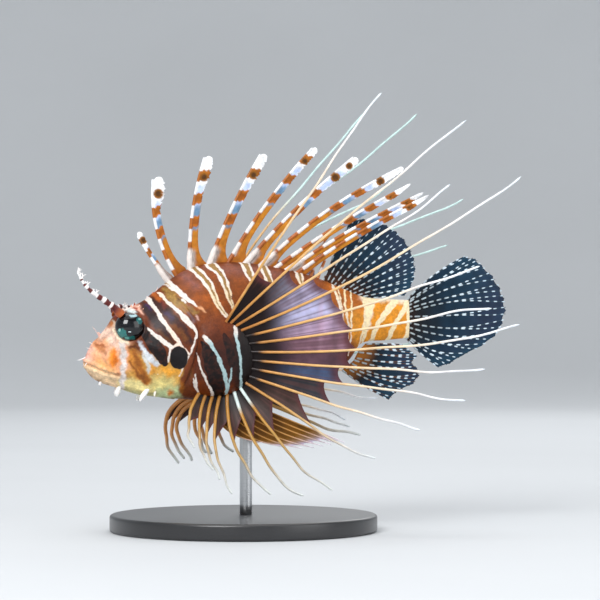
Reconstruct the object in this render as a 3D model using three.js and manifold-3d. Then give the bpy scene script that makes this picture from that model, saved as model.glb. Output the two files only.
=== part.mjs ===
// Spotfin lionfish, a still life-size model on a plain display stand.
// Millimetres, +Z up. The head points to -X and the left flank faces -Y.
// The origin is the centre of the stand's underside.
import * as THREE from 'three';
import { mergeVertices } from 'three/addons/utils/BufferGeometryUtils.js';
import Module from 'manifold-3d';

const wasm = await Module();
wasm.setup();

// Driving dimensions of the body
const GAP = 0.3; // between any two nodes that touch
const SLIVER = 0.01; // details below this are smoothed out of each solid
const SNOUT_X = -66.9; // tip of the closed mouth
const HEAD_FLEX_X = -52; // behind this the head's stations lean to the gill cover's edge
const TAIL_CUT_X = 50; // front of the tail's narrow part
const TAIL_END_X = 70.5; // root of the tail fin
const GILL_COVER_RISE = 0.8; // the gill cover stands this far off the flank
// Rear edge of the gill cover: its place at mid height, how far forward it runs at the
// back and at the throat, and how late the curve sets in
const GILL = { x: -21.5, forwardTop: 16.5, forwardBottom: 8, power: 1.6 };
const BODY_SIDES = 40;
const HEAD_STATIONS = 23;
const TORSO_STATIONS = 15;
const TAIL_STATIONS = 6;
const LOBE_SIDES = 20;

// Each line is [x, size] from snout to tail: the back, the belly and half the width
const BACK_LINE = [
  [-66.9, 71.1], [-66.2, 73.6], [-65, 76.2], [-63.4, 79], [-60.7, 81.5], [-56.9, 86.4],
  [-52.8, 91], [-47.7, 93.6], [-41.5, 96.6], [-36, 101.2], [-31.8, 104.6], [-24.7, 109],
  [-13.3, 112], [0.6, 112.2], [15.5, 110], [28.3, 107], [42.4, 101.4], [51, 98], [60.4, 97],
  [70.5, 96.6],
];
const BELLY_LINE = [
  [-66.9, 69.9], [-66.1, 67.6], [-64.4, 65.2], [-62.3, 63.5], [-59.8, 62.2], [-53.2, 60.1],
  [-45.7, 57.6], [-39.4, 56.6], [-33.1, 55.9], [-26.8, 55.4], [-18.4, 55], [-5.7, 55.9],
  [4.9, 58], [15.5, 60.8], [28.3, 64], [41, 68], [45.5, 72], [50, 78.2], [60.4, 79.6],
  [70.5, 80.6],
];
const HALF_WIDTH = [
  [-66.9, 0.8], [-66, 3.2], [-64.4, 4.9], [-61, 6.5], [-56, 7.9], [-50, 9.2], [-44, 10.6],
  [-36, 12.6], [-27, 14.2], [-18, 14.6], [-5, 14], [8, 12.8], [24, 10.4], [38, 7.6],
  [50, 5.2], [60, 4], [70.5, 2.7],
];

// Share of its width that a section loses at its top and bottom
const BACK_NARROWING = 0.22;
const BELLY_NARROWING = 0.1;

// Head parts: places in side view [x, z], sizes in millimetres
const EYE = { x: -49, z: 85.5, y: 9.2, radius: 6, depth: 4.6 };
const RIM = { radius: 6, thick: 1.15, outward: 1.9, stretch: 1.25, turn: 6, rootY: 1.4 };
// Swellings off the plain section: [x, z, height, width]
const ORBIT = { height: 1.7, width: 7 };
const JAW = { x: -58, z: 70.5, height: 1.1, width: 5 };
const NOSE_DIP = { x: -57.5, z: 81.5, height: -0.7, width: 3.2 };
const CHEEK_RIDGE = { x: -37, length: 9, z: 79, slope: -0.42, from: -44, height: 0.9, width: 2.2 };
const COVER_RAMP = 9; // length over which the gill cover rises to its edge
const BROW_SPINES = { count: 3, length: 2.6, radius: 0.7, tip: 0.12, lean: 0.8, from: 40, to: 96 };
const MOUTH = { corner: [-53.8, 66], tip: [-66.7, 70.5], lipRadius: 1.15, sink: 0.35 };
const NOSTRIL = { x: -59.4, z: 80.6, radius: 0.8, length: 1.8, hole: 0.4, sink: 0.6, floor: 0.9 };
const CHEEK_SPINES = [[-45, 74], [-40.5, 72.6], [-38, 66], [-37.5, 62.5], [-39.5, 59.6]];
const CHEEK_SPINE = { length: 2.6, radius: 0.7, tip: 0.12, out: 1.6, drop: 0.4, sink: 0.7 };
const FLAP = { thick: 0.6, tip: 0.3, width: 1.5, sink: 1.1 };
// Skin flaps of the chin and cheek: [x, angle round the section, length, forward lean]
const FLAPS = [
  [-60, -62, 2.6, 0.3], [-52.5, -58, 5, 0.2], [-41.2, -52, 6, 0.45], [-37.5, -56, 3, 0.3],
];
const SNOUT_FLAP = { x: -64.4, angle: 34, length: 5.5, lean: 0.5, width: 0.8 };
const TENTACLE = { turn: 124, rootRadius: 1.5, tipRadius: 0.45, sides: 6 };
const TASSEL = { count: 7, length: 4.2, from: 0.22, width: 0.6, thick: 0.35, tipWidth: 0.25, tipThick: 0.2 };

// Pectoral fin: its fleshy base, the same on both flanks, in side view
const LOBE = { x: -11.5, reach: 15.6, angle: -31, turn: 45, rise: 1.8, sink: 1.2 };
const PECTORAL = {
  firstRay: 76, // place of the top ray round the base, degrees from straight back
  lastRay: -128,
  rayWidth: 0.75,
  rayThick: 0.62,
  webThick: 0.27,
  rows: 4,
  freeRows: 4,
  rootShare: 0.86,
  rootLift: 0.7, // height of the rays' roots off the flank
  narrowing: 0.55, // share of its width that a ray loses by its tip
  flattening: 0.5, // and of its thickness
  flare: 0.35, // how much more of the spread comes near the root
  notch: 0.45,
};
// Each ray, top to bottom: [angle up from straight back, length, bend, share of it webbed]
const LEFT_RAYS = [
  [58, 108, 0.018, 0.22], [43, 120, 0.006, 0.25], [36, 99, 0.009, 0.38], [31, 122, -0.048, 0.34],
  [18, 94, -0.016, 0.47], [10, 93, -0.007, 0.46], [6.5, 102, -0.063, 0.4], [-2, 88, -0.021, 0.44],
  [-9, 83, -0.009, 0.42], [-18, 70, -0.011, 0.44], [-30, 56, -0.057, 0.5], [-46.5, 51, -0.028, 0.48],
  [-54, 48, -0.067, 0.46], [-62, 41, -0.113, 0.48], [-80, 35, -0.077, 0.5], [-83, 30, -0.105, 0.52],
  [-86, 26, -0.137, 0.55], [-96, 19, -0.2, 0.6],
];
const RIGHT_RAYS = [
  [54, 112, -0.02, 0.24], [46, 124, 0.03, 0.26], [33, 116, 0.012, 0.34], [22, 100, 0.03, 0.4],
  [15, 96, -0.02, 0.45], [8, 94, -0.03, 0.46], [2, 92, -0.04, 0.44], [-5, 82, -0.02, 0.46],
  [-13, 66, -0.02, 0.5], [-21, 57, -0.04, 0.55], [-23, 51, -0.032, 0.6], [-31, 44, -0.05, 0.62],
  [-52, 30, -0.12, 0.6], [-74, 25, -0.14, 0.6], [-80, 24, -0.1, 0.6], [-82, 25, -0.14, 0.6],
  [-85, 26, -0.17, 0.6], [-92, 26, -0.18, 0.6],
];
const LEFT_SPREAD = { top: 0.36, bottom: 0.34 }; // outward share of a ray's length
const RIGHT_SPREAD = { top: 0.36, bottom: 0.72 };

// Dorsal spines as [root x, angle, length, bend, share webbed, sideways lean].
// The last long ones lie to the left of the soft rays and the short ones to the right.
const DORSAL_SPINES = [
  [-31, 121, 23, 0.014, 0.36, 0.01], [-27.6, 104, 42, 0.087, 0.3, -0.01],
  [-22.6, 82, 47.5, 0.045, 0.27, 0.01], [-15.2, 65, 52, 0.026, 0.24, -0.01],
  [-7.6, 53, 61.5, 0.026, 0.21, 0.01], [-0.6, 44, 65.5, 0.025, 0.19, -0.01],
  [6, 35, 74, 0.043, 0.17, -0.02], [11.6, 32.5, 68, 0.02, 0.17, -0.05],
  [16.6, 30, 68, 0.023, 0.16, -0.09], [21.2, 30, 64, 0.02, 0.17, -0.13],
];
const SHORT_SPINES = [
  [25, 55, 21, 0.05, 0.5, 0.08], [28, 59, 17, 0.047, 0.62, 0.07], [31, 64, 20, 0.03, 0.8, 0.04],
];
const SPINE = {
  width: 0.95, narrowing: 0.5, thick: 0.75, flattening: 0.45, web: 0.27, notch: 0.7,
  sink: 2, offset: 0.5, offsetPerLean: 16,
};
const PENNANT = { width: 3.3, at: 0.8, length: 0.2, shrink: 0.07 }; // shrink is per spine
// Median and pelvic fins, each ray as [root x, angle, length, bend]
const SOFT_DORSAL = {
  from: 34, to: 50.4, rays: 11, angles: [66, 3], lengths: [29.5, 35, 18.5], bend: 0.01,
};
const TAIL_FIN = {
  rays: 13, angles: [41, -45], lengths: [24, 44.5, 17], rootSpan: [96, 81.5], bend: 0.01, web: 0.95,
};
const ANAL_RAYS = [
  [43.2, -81, 9, 0], [44.8, -60, 13, 0], [46.4, -54, 20, 0], [48.4, -53, 27, 0.007],
  [51, -51, 28.5, 0], [54, -46, 28, 0], [57.5, -40, 25.5, 0.005], [61.5, -38, 18, 0.009],
  [65.2, -42, 10, 0.011],
];
const PELVIC_RAYS = [
  [-15, -40, 27, -0.16], [-13.6, -32, 33, -0.09], [-12.2, -28, 40, -0.07], [-10.8, -25, 46, -0.04],
  [-9.4, -20, 52, -0.01], [-8, -14.5, 46, -0.02],
];
const PELVIC = { y: 4.2, spread: 0.075, web: 0.84, sink: 1.8 };
const SOFT_RAY = {
  width: 0.36, widening: 0.5, thick: 0.45, flattening: 0.3, web: 0.26, share: 0.93, notch: 0.18,
};
const FIN_SINK = { soft: 1.5, tail: 1, anal: 1.2 }; // how deep the roots lie in the body

// Display stand
const STAND = { radius: 56, height: 7, edge: 1.2, sides: 48 };
const ROD = { radius: 2.6, x: 1, sides: 20, reach: 4 }; // reach: into the belly before the cut

const COLOURS = {
  head: 0xa8603c,
  body: 0x6a2e18,
  tail: 0xc8701a,
  eye: 0x080810,
  tentacle: 0xc9a0a0,
  ray: 0xd09858,
  spine: 0xa8602a,
  soft: 0x14384c,
  base: 0x2a2a2c,
  rod: 0xb9bcc0,
};

const radians = THREE.MathUtils.degToRad;
const vector = (x, y, z) => new THREE.Vector3(x, y, z);
const clamp = THREE.MathUtils.clamp;
const lerp = THREE.MathUtils.lerp;
const bump = (distance, width) => Math.exp(-((distance / width) ** 2));

// A smooth line through [x, value] pairs that never overshoots a pair
function smoothLine(pairs) {
  const slope = pairs.map((pair, i) => {
    const before = pairs[Math.max(i - 1, 0)];
    const after = pairs[Math.min(i + 1, pairs.length - 1)];
    return (after[1] - before[1]) / (after[0] - before[0]);
  });
  return (x) => {
    const last = pairs.length - 2;
    let i = 0;
    while (i < last && x > pairs[i + 1][0]) i += 1;
    const [x0, v0] = pairs[i];
    const [x1, v1] = pairs[i + 1];
    const span = x1 - x0;
    const t = clamp((x - x0) / span, 0, 1);
    const t2 = t * t;
    const t3 = t2 * t;
    const rise = (t3 - 2 * t2 + t) * slope[i] * span + (t3 - t2) * slope[i + 1] * span;
    return (2 * t3 - 3 * t2 + 1) * v0 + (3 * t2 - 2 * t3) * v1 + rise;
  };
}

const back = smoothLine(BACK_LINE);
const belly = smoothLine(BELLY_LINE);
const halfWidth = smoothLine(HALF_WIDTH);

// Rear edge of the gill cover at each angle round the body
function gillEdge(angle) {
  const up = Math.sin(angle);
  const top = GILL.forwardTop * Math.max(0, up) ** GILL.power;
  return GILL.x - top - GILL.forwardBottom * Math.max(0, -up) ** GILL.power;
}

// Swellings of the head, in millimetres off the plain section
function relief(x, z, angle) {
  const mound = (place, { height, width }) => height * bump(Math.hypot(x - place.x, z - place.z), width);
  const ridgeZ = CHEEK_RIDGE.z + CHEEK_RIDGE.slope * (x - CHEEK_RIDGE.from);
  const ridge = bump(z - ridgeZ, CHEEK_RIDGE.width) * bump(x - CHEEK_RIDGE.x, CHEEK_RIDGE.length);
  const ramp = THREE.MathUtils.smoothstep(x - gillEdge(angle), -COVER_RAMP, 0);
  return mound(EYE, ORBIT) + mound(JAW, JAW) + mound(NOSE_DIP, NOSE_DIP)
    + CHEEK_RIDGE.height * ridge + GILL_COVER_RISE * ramp;
}

// A point of the body's skin. angle 0 is the left flank and 90 degrees the back.
function skinPoint(x, angle, grow = 0, withRelief = true) {
  const top = back(x);
  const bottom = belly(x);
  const up = Math.sin(angle);
  const side = Math.cos(angle);
  const z = (top + bottom) / 2 + ((top - bottom) / 2) * up;
  const narrow = 1 - BACK_NARROWING * Math.max(0, up) ** 2 - BELLY_NARROWING * Math.max(0, -up) ** 2;
  const width = halfWidth(x) * narrow;
  const swell = grow + (withRelief ? relief(x, z, angle) * Math.abs(side) ** 0.7 : 0);
  const normalScale = 1 / Math.hypot(side / width, up / ((top - bottom) / 2));
  const normalY = (side / width) * normalScale;
  const normalZ = (up / ((top - bottom) / 2)) * normalScale;
  return vector(x, -(width * side + swell * normalY), z + swell * normalZ);
}

function skinNormal(x, angle) {
  const step = 0.02;
  const along = skinPoint(x + 0.2, angle).sub(skinPoint(x - 0.2, angle));
  const around = skinPoint(x, angle + step).sub(skinPoint(x, angle - step));
  return along.cross(around).normalize();
}

// The angle round the section at which the left flank passes height z
function angleAt(x, z) {
  const middle = (back(x) + belly(x)) / 2;
  return Math.asin(clamp((z - middle) / ((back(x) - belly(x)) / 2), -1, 1));
}

// A closed solid from a list of points and a list of triangles
function solid(points, triangles) {
  const geometry = new THREE.BufferGeometry();
  const flat = points.flatMap((p) => [p.x, p.y, p.z]);
  geometry.setAttribute('position', new THREE.Float32BufferAttribute(flat, 3));
  geometry.setIndex(triangles.flat());
  return manifold(geometry);
}

function manifold(geometry) {
  const bare = geometry.clone();
  bare.deleteAttribute('normal');
  bare.deleteAttribute('uv');
  const merged = mergeVertices(bare, 1e-4);
  return new wasm.Manifold(new wasm.Mesh({
    numProp: 3,
    vertProperties: new Float32Array(merged.attributes.position.array),
    triVerts: new Uint32Array(merged.index.array),
  }));
}

// The largest closed piece of a solid, without the slivers that cuts leave
function largest(body) {
  const pieces = body.simplify(SLIVER).decompose();
  return pieces.reduce((best, piece) => (piece.volume() > best.volume() ? piece : best));
}

function geometryOf(body) {
  const mesh = body.getMesh();
  const geometry = new THREE.BufferGeometry();
  geometry.setAttribute('position', new THREE.Float32BufferAttribute(mesh.vertProperties, 3));
  geometry.setIndex(Array.from(mesh.triVerts));
  const faceted = geometry.toNonIndexed();
  faceted.computeVertexNormals();
  return faceted;
}

// Rings of points joined to a closed solid, with a cap at each end
function loft(rings) {
  const sides = rings[0].length;
  const points = rings.flat();
  const triangles = [];
  for (let i = 0; i < rings.length - 1; i += 1) {
    for (let j = 0; j < sides; j += 1) {
      const a = i * sides + j;
      const b = i * sides + ((j + 1) % sides);
      triangles.push([a, b, b + sides], [a, b + sides, a + sides]);
    }
  }
  const centre = (ring) => ring.reduce((sum, p) => sum.add(p), vector(0, 0, 0)).divideScalar(sides);
  const first = points.push(centre(rings[0])) - 1;
  const last = points.push(centre(rings[rings.length - 1])) - 1;
  const offset = (rings.length - 1) * sides;
  for (let j = 0; j < sides; j += 1) {
    const next = (j + 1) % sides;
    triangles.push([first, next, j], [last, offset + j, offset + next]);
  }
  const body = solid(points, triangles);
  return body.volume() > 0 ? body : solid(points, triangles.map(([a, b, c]) => [a, c, b]));
}

const ringAngles = Array.from({ length: BODY_SIDES }, (_, j) => (2 * Math.PI * j) / BODY_SIDES);

// Stations closer together at the snout
function headStation(share) {
  return lerp(SNOUT_X, GILL.x, lerp(share ** 1.7, share, 0.25));
}

function leaned(x, angle) {
  if (x <= HEAD_FLEX_X) return x;
  return lerp(HEAD_FLEX_X, gillEdge(angle), (x - HEAD_FLEX_X) / (GILL.x - HEAD_FLEX_X));
}

function plainHead(grow = 0, reach = 0) {
  const rings = [];
  for (let i = 0; i < HEAD_STATIONS; i += 1) {
    const share = i / (HEAD_STATIONS - 1);
    const x = headStation(share);
    rings.push(ringAngles.map((angle) => {
      const point = skinPoint(leaned(x, angle), angle, grow);
      point.x += reach * share - grow * (1 - share);
      return point;
    }));
  }
  const inner = (angle) => skinPoint(gillEdge(angle), angle, 0, false);
  rings.push(ringAngles.map((angle) => inner(angle).add(vector(reach, 0, 0))));
  return loft(rings);
}

function torsoSkin(grow = 0) {
  const rings = [];
  for (let i = 0; i < TORSO_STATIONS; i += 1) {
    const share = i / (TORSO_STATIONS - 1);
    const ring = ringAngles.map((angle) => {
      const x = lerp(gillEdge(angle) + GAP - grow, TAIL_CUT_X + grow, share);
      return skinPoint(x, angle, grow, false);
    });
    rings.push(ring);
  }
  return loft(rings);
}

// Place [x, angle] at a share of the fleshy base's reach, turned up from straight back
function lobePlace(turn, reach) {
  const x = LOBE.x + LOBE.reach * reach * Math.cos(turn);
  return [x, radians(LOBE.angle + LOBE.turn * reach * Math.sin(turn))];
}

// The fleshy base of a pectoral fin, side -1 for the left and 1 for the right
function lobe(side, grow = 0) {
  const ring = (share, height) => Array.from({ length: LOBE_SIDES }, (_, i) => {
    const turn = (2 * Math.PI * i) / LOBE_SIDES;
    const reach = share * (1 + grow / LOBE.reach);
    const [x, angle] = lobePlace(turn, reach);
    return mirrored(skinPoint(x, angle, 0, false).addScaledVector(skinNormal(x, angle), height), side);
  });
  return loft([
    ring(0.06, LOBE.rise + grow),
    ring(0.6, LOBE.rise + grow),
    ring(1, LOBE.rise * 0.8 + grow),
    ring(1, -LOBE.sink),
    ring(0.06, -LOBE.sink),
  ]);
}

// A tapering rod or leaf along a list of points. wide points across the leaf.
function stem(path, width, thick, wide, sides) {
  const curve = new THREE.CatmullRomCurve3(path);
  const steps = path.length - 1;
  const rings = [];
  for (let i = 0; i <= steps; i += 1) {
    const share = i / steps;
    const along = curve.getTangentAt(share);
    const across = wide.clone().addScaledVector(along, -wide.dot(along)).normalize();
    const normal = along.clone().cross(across);
    const centre = curve.getPointAt(share);
    rings.push(Array.from({ length: sides }, (_, j) => {
      const turn = (2 * Math.PI * j) / sides;
      return centre.clone()
        .addScaledVector(across, width(share) * Math.cos(turn))
        .addScaledVector(normal, thick(share) * Math.sin(turn));
    }));
  }
  return loft(rings);
}

const taper = (root, tip) => (share) => lerp(root, tip, share);

function mirrored(point, side) {
  return vector(point.x, -point.y * side, point.z);
}

function eyeShape(side, grow = 0) {
  const ball = new THREE.SphereGeometry(1, 16, 10);
  ball.rotateX(Math.PI / 2);
  ball.scale(EYE.radius + grow, EYE.depth + grow, EYE.radius + grow);
  ball.translate(EYE.x, side * EYE.y, EYE.z);
  return manifold(ball);
}

// The raised rim round the eye
function eyeRim(side) {
  const rim = new THREE.TorusGeometry(RIM.radius, RIM.thick, 5, 20);
  rim.rotateX(Math.PI / 2);
  rim.scale(1, RIM.stretch, 1);
  rim.rotateZ(-side * radians(RIM.turn));
  rim.translate(EYE.x, side * (EYE.y + RIM.outward), EYE.z);
  return manifold(rim);
}

// A point of the eye's rim, turned up from straight back
function onRim(side, turnDegrees, outward) {
  const turn = radians(turnDegrees);
  const reach = RIM.radius + outward;
  const y = side * (EYE.y + RIM.rootY);
  return vector(EYE.x + reach * Math.cos(turn), y, EYE.z + reach * Math.sin(turn));
}

function browSpines(side) {
  return Array.from({ length: BROW_SPINES.count }, (_, i) => {
    const turn = lerp(BROW_SPINES.from, BROW_SPINES.to, i / (BROW_SPINES.count - 1));
    const root = onRim(side, turn, 0);
    const tip = onRim(side, turn, BROW_SPINES.length).add(vector(BROW_SPINES.lean, 0, 0));
    const radius = taper(BROW_SPINES.radius, BROW_SPINES.tip);
    return stem([root, tip], radius, radius, vector(0, 1, 0), 4);
  });
}

// The two lips follow the mouth line from one corner round the snout to the other
function lips() {
  const steps = 7;
  return [1, -1].map((upper) => {
    const path = [];
    for (let i = -steps; i <= steps; i += 1) {
      const share = Math.abs(i) / steps;
      const x = lerp(MOUTH.tip[0], MOUTH.corner[0], share ** 1.35);
      const z = lerp(MOUTH.tip[1], MOUTH.corner[1], share) + upper * (MOUTH.lipRadius - 0.1);
      const inner = skinPoint(x, angleAt(x, z), -MOUTH.sink);
      path.push(mirrored(inner, i < 0 ? 1 : -1));
    }
    const size = (share) => MOUTH.lipRadius * (0.55 + 0.45 * Math.sin(Math.PI * share));
    return stem(path, size, size, vector(0, 0, 1), 5);
  });
}

function nostril(side) {
  const angle = angleAt(NOSTRIL.x, NOSTRIL.z);
  const root = mirrored(skinPoint(NOSTRIL.x, angle, -NOSTRIL.sink), side);
  const out = mirrored(skinNormal(NOSTRIL.x, angle), side);
  const tip = root.clone().addScaledVector(out, NOSTRIL.length);
  const outer = taper(NOSTRIL.radius, NOSTRIL.radius * 0.85);
  const hole = taper(NOSTRIL.hole, NOSTRIL.hole);
  const tube = stem([root, tip], outer, outer, vector(1, 0, 0), 6);
  const floor = root.clone().addScaledVector(out, NOSTRIL.floor);
  const above = tip.clone().addScaledVector(out, 1);
  return { tube, bore: stem([floor, above], hole, hole, vector(1, 0, 0), 5) };
}

function skinFlap(x, angleDegrees, length, lean, side, width) {
  const angle = radians(angleDegrees);
  const out = mirrored(skinNormal(x, angle), side);
  const root = mirrored(skinPoint(x, angle, -FLAP.sink), side);
  const path = [0, 0.5, 1].map((share) => root.clone()
    .addScaledVector(out, (length + FLAP.sink) * share)
    .add(vector(-lean * length * share * share, 0, 0)));
  const leaf = (share) => width * (0.35 + 0.5 * Math.sin(Math.PI * Math.min(share * 1.1, 1)));
  return stem(path, leaf, taper(FLAP.thick, FLAP.tip), vector(1, 0.2, 0), 4);
}

function cheekSpine([x, z], side) {
  const angle = angleAt(x, z);
  const out = mirrored(skinNormal(x, angle), side);
  const root = mirrored(skinPoint(x, angle, -CHEEK_SPINE.sink), side);
  const tip = root.clone().addScaledVector(out, CHEEK_SPINE.out);
  tip.add(vector(CHEEK_SPINE.length, 0, -CHEEK_SPINE.drop));
  const radius = taper(CHEEK_SPINE.radius, CHEEK_SPINE.tip);
  return stem([root, tip], radius, radius, vector(0, 0, 1), 4);
}

function headSolid() {
  let head = plainHead();
  for (const side of [-1, 1]) {
    head = head.add(eyeRim(side));
    for (const spine of browSpines(side)) head = head.add(spine);
    for (const place of CHEEK_SPINES) head = head.add(cheekSpine(place, side));
    for (const [x, angle, length, lean] of FLAPS) {
      head = head.add(skinFlap(x, angle, length, lean, side, FLAP.width));
    }
    const { x, angle, length, lean, width } = SNOUT_FLAP;
    head = head.add(skinFlap(x, angle, length, lean, side, width));
  }
  for (const lip of lips()) head = head.add(lip);
  for (const side of [-1, 1]) {
    const { tube, bore } = nostril(side);
    head = head.add(tube).subtract(bore);
    head = head.subtract(eyeShape(side, GAP));
  }
  return largest(head);
}

// The torso with its two fin bases, which stop short behind the gill covers
function torsoSolid(grow = 0) {
  const behindGills = plainHead(LOBE.rise * 2, GAP * 2 - grow);
  const lobes = [-1, 1].map((side) => lobe(side, grow).subtract(behindGills));
  return torsoSkin(grow).add(lobes[0]).add(lobes[1]);
}

function tailSolid(grow = 0) {
  const rings = [];
  for (let i = 0; i < TAIL_STATIONS; i += 1) {
    const x = lerp(TAIL_CUT_X + GAP - grow, TAIL_END_X + grow, i / (TAIL_STATIONS - 1));
    const angles = ringAngles.filter((_, j) => j % 2 === 0);
    rings.push(angles.map((angle) => skinPoint(x, angle, grow, false)));
  }
  return loft(rings);
}

// What the fins and the rod are cut clear of
const bodyGrown = torsoSolid(GAP).add(tailSolid(GAP));

// One closed fin. Each ray is a ridge raised in the membrane. The last rows of a
// ray run free of the membrane to a point, and the membrane's edge dips between rays.
function finSolid(rays, { rows, freeRows, web, notch }) {
  const points = [];
  const triangles = [];
  const put = (point) => points.push(point) - 1;
  const quad = (a, b, c, d) => triangles.push([a, b, c], [a, c, d]);
  const total = rows + freeRows;
  const columns = rays.map((ray, i) => {
    const before = rays[Math.max(i - 1, 0)];
    const after = rays[Math.min(i + 1, rays.length - 1)];
    let across = null;
    const stations = [];
    for (let row = 0; row < total; row += 1) {
      const along = ray.tangent(row);
      if (row <= rows) across = after.point(row).sub(before.point(row));
      const side = across.clone().addScaledVector(along, -across.dot(along)).normalize();
      const normal = side.clone().cross(along).normalize();
      const centre = ray.point(row);
      const lead = ray.lead(row);
      const trail = ray.trail(row);
      const rim = web * ray.fade(row);
      const crest = Math.max(ray.thick(row), rim + 0.02);
      const at = (s, n) => put(centre.clone().addScaledVector(side, s).addScaledVector(normal, n));
      stations.push({
        lt: at(-lead, rim), ct: at(0, crest), rt: at(trail, rim),
        lb: at(-lead, -rim), cb: at(0, -crest), rb: at(trail, -rim),
        normal,
      });
    }
    return { stations, tip: put(ray.point(total)) };
  });
  columns.forEach(({ stations, tip }, i) => {
    const first = i === 0;
    const last = i === columns.length - 1;
    const root = stations[0];
    quad(root.lt, root.lb, root.cb, root.ct);
    quad(root.ct, root.cb, root.rb, root.rt);
    for (let row = 0; row < total - 1; row += 1) {
      const a = stations[row];
      const b = stations[row + 1];
      quad(a.lt, a.ct, b.ct, b.lt);
      quad(a.ct, a.rt, b.rt, b.ct);
      triangles.push([a.lb, b.cb, a.cb], [a.lb, b.lb, b.cb]);
      triangles.push([a.cb, b.rb, a.rb], [a.cb, b.cb, b.rb]);
      if (first || row >= rows) quad(a.lb, a.lt, b.lt, b.lb);
      if (last || row >= rows) quad(a.rt, a.rb, b.rb, b.rt);
    }
    const end = stations[total - 1];
    triangles.push([end.lt, end.ct, tip], [end.ct, end.rt, tip], [end.rt, end.rb, tip]);
    triangles.push([end.rb, end.cb, tip], [end.cb, end.lb, tip], [end.lb, end.lt, tip]);
    if (last) return;
    const other = columns[i + 1].stations;
    quad(root.rt, root.rb, other[0].lb, other[0].lt);
    for (let row = 0; row < rows - 1; row += 1) {
      const a = stations[row];
      const b = stations[row + 1];
      quad(a.rt, other[row].lt, other[row + 1].lt, b.rt);
      triangles.push([a.rb, other[row + 1].lb, other[row].lb], [a.rb, b.rb, other[row + 1].lb]);
    }
    const a = stations[rows - 1];
    const b = stations[rows];
    const c = other[rows - 1];
    const d = other[rows];
    const between = (p, q) => points[p].clone().lerp(points[q], 0.5);
    const mt = put(between(b.rt, d.lt).lerp(between(a.rt, c.lt), notch));
    const mb = put(between(b.rb, d.lb).lerp(between(a.rb, c.lb), notch));
    triangles.push([a.rt, c.lt, mt], [a.rt, mt, b.rt], [c.lt, d.lt, mt]);
    triangles.push([a.rb, mb, c.lb], [a.rb, b.rb, mb], [c.lb, mb, d.lb]);
    quad(b.rt, mt, mb, b.rb);
    quad(mt, d.lt, d.lb, mb);
  });
  const body = solid(points, triangles);
  return body.volume() > 0 ? body : solid(points, triangles.map(([a, b, c]) => [a, c, b]));
}

// A ray as finSolid reads it: a curve with a share of its length webbed
function finRay({ curve, webShare, rows, freeRows, lead, trail, thick, fade = () => 1 }) {
  const share = (row) => {
    if (row <= rows) return (webShare * row) / rows;
    return lerp(webShare, 1, (row - rows) / freeRows);
  };
  return {
    point: (row) => curve(share(row)),
    tangent: (row) => {
      const t = share(row);
      return curve(Math.min(t + 0.02, 1.02)).sub(curve(t - 0.02)).normalize();
    },
    lead: (row) => lead(share(row)),
    trail: (row) => trail(share(row)),
    thick: (row) => thick(share(row)),
    fade: (row) => fade(share(row)),
  };
}

// A bent line from root, angle degrees above straight back, that strays outward by spread(t)
function bentLine(root, angleDegrees, length, bend, spread) {
  const angle = radians(angleDegrees);
  const along = vector(Math.cos(angle), 0, Math.sin(angle));
  const upward = vector(-Math.sin(angle), 0, Math.cos(angle));
  return (t) => root.clone()
    .addScaledVector(along, length * t)
    .addScaledVector(upward, 4 * t * (1 - t) * bend * length)
    .add(vector(0, spread(t), 0));
}

function pectoralFin(side, table, spreadShare) {
  const { rows, freeRows, rayWidth, rayThick } = PECTORAL;
  const count = table.length;
  const rays = table.map(([angle, length, bend, webShare], i) => {
    const down = i / (count - 1);
    const turn = radians(lerp(PECTORAL.firstRay, PECTORAL.lastRay, down));
    const [x, round] = lobePlace(turn, PECTORAL.rootShare);
    const root = mirrored(skinPoint(x, round, PECTORAL.rootLift, false), side);
    const out = side * length * lerp(spreadShare.top, spreadShare.bottom, down);
    const stray = (t) => out * t * (1 + PECTORAL.flare * (1 - t));
    const curve = bentLine(root, angle, length, bend, stray);
    const width = (t) => rayWidth * (1 - PECTORAL.narrowing * t);
    const thick = (t) => rayThick * (1 - PECTORAL.flattening * t);
    return finRay({ curve, webShare, rows, freeRows, lead: width, trail: width, thick });
  });
  const fin = finSolid(rays, { rows, freeRows, web: PECTORAL.webThick, notch: PECTORAL.notch });
  return largest(fin.subtract(bodyGrown));
}

// A stiff spine with a leaf of skin behind it that is widest near the tip
function dorsalSpine([x, angle, length, bend, webShare, lean], leaf, rows, freeRows) {
  const y = SPINE.offset * clamp(lean * SPINE.offsetPerLean, -1, 1);
  const root = vector(x, y, back(x) - SPINE.sink);
  const curve = bentLine(root, angle, length + SPINE.sink, bend, (t) => lean * length * t);
  const lead = (t) => SPINE.width * (1 - SPINE.narrowing * t);
  const pennant = (t) => (t > webShare ? leaf * bump(t - PENNANT.at, PENNANT.length) : 0);
  const trail = (t) => lead(t) + pennant(t);
  const thick = (t) => SPINE.thick * (1 - SPINE.flattening * t);
  return finRay({ curve, webShare, rows, freeRows, lead, trail, thick });
}

function spinyDorsal() {
  const rows = 3;
  const freeRows = 6;
  const rays = DORSAL_SPINES.map((spine, i) => {
    const leaf = PENNANT.width * (1 - PENNANT.shrink * i);
    return dorsalSpine(spine, leaf, rows, freeRows);
  });
  const fin = finSolid(rays, { rows, freeRows, web: SPINE.web, notch: SPINE.notch });
  return largest(fin.subtract(bodyGrown));
}

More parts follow.
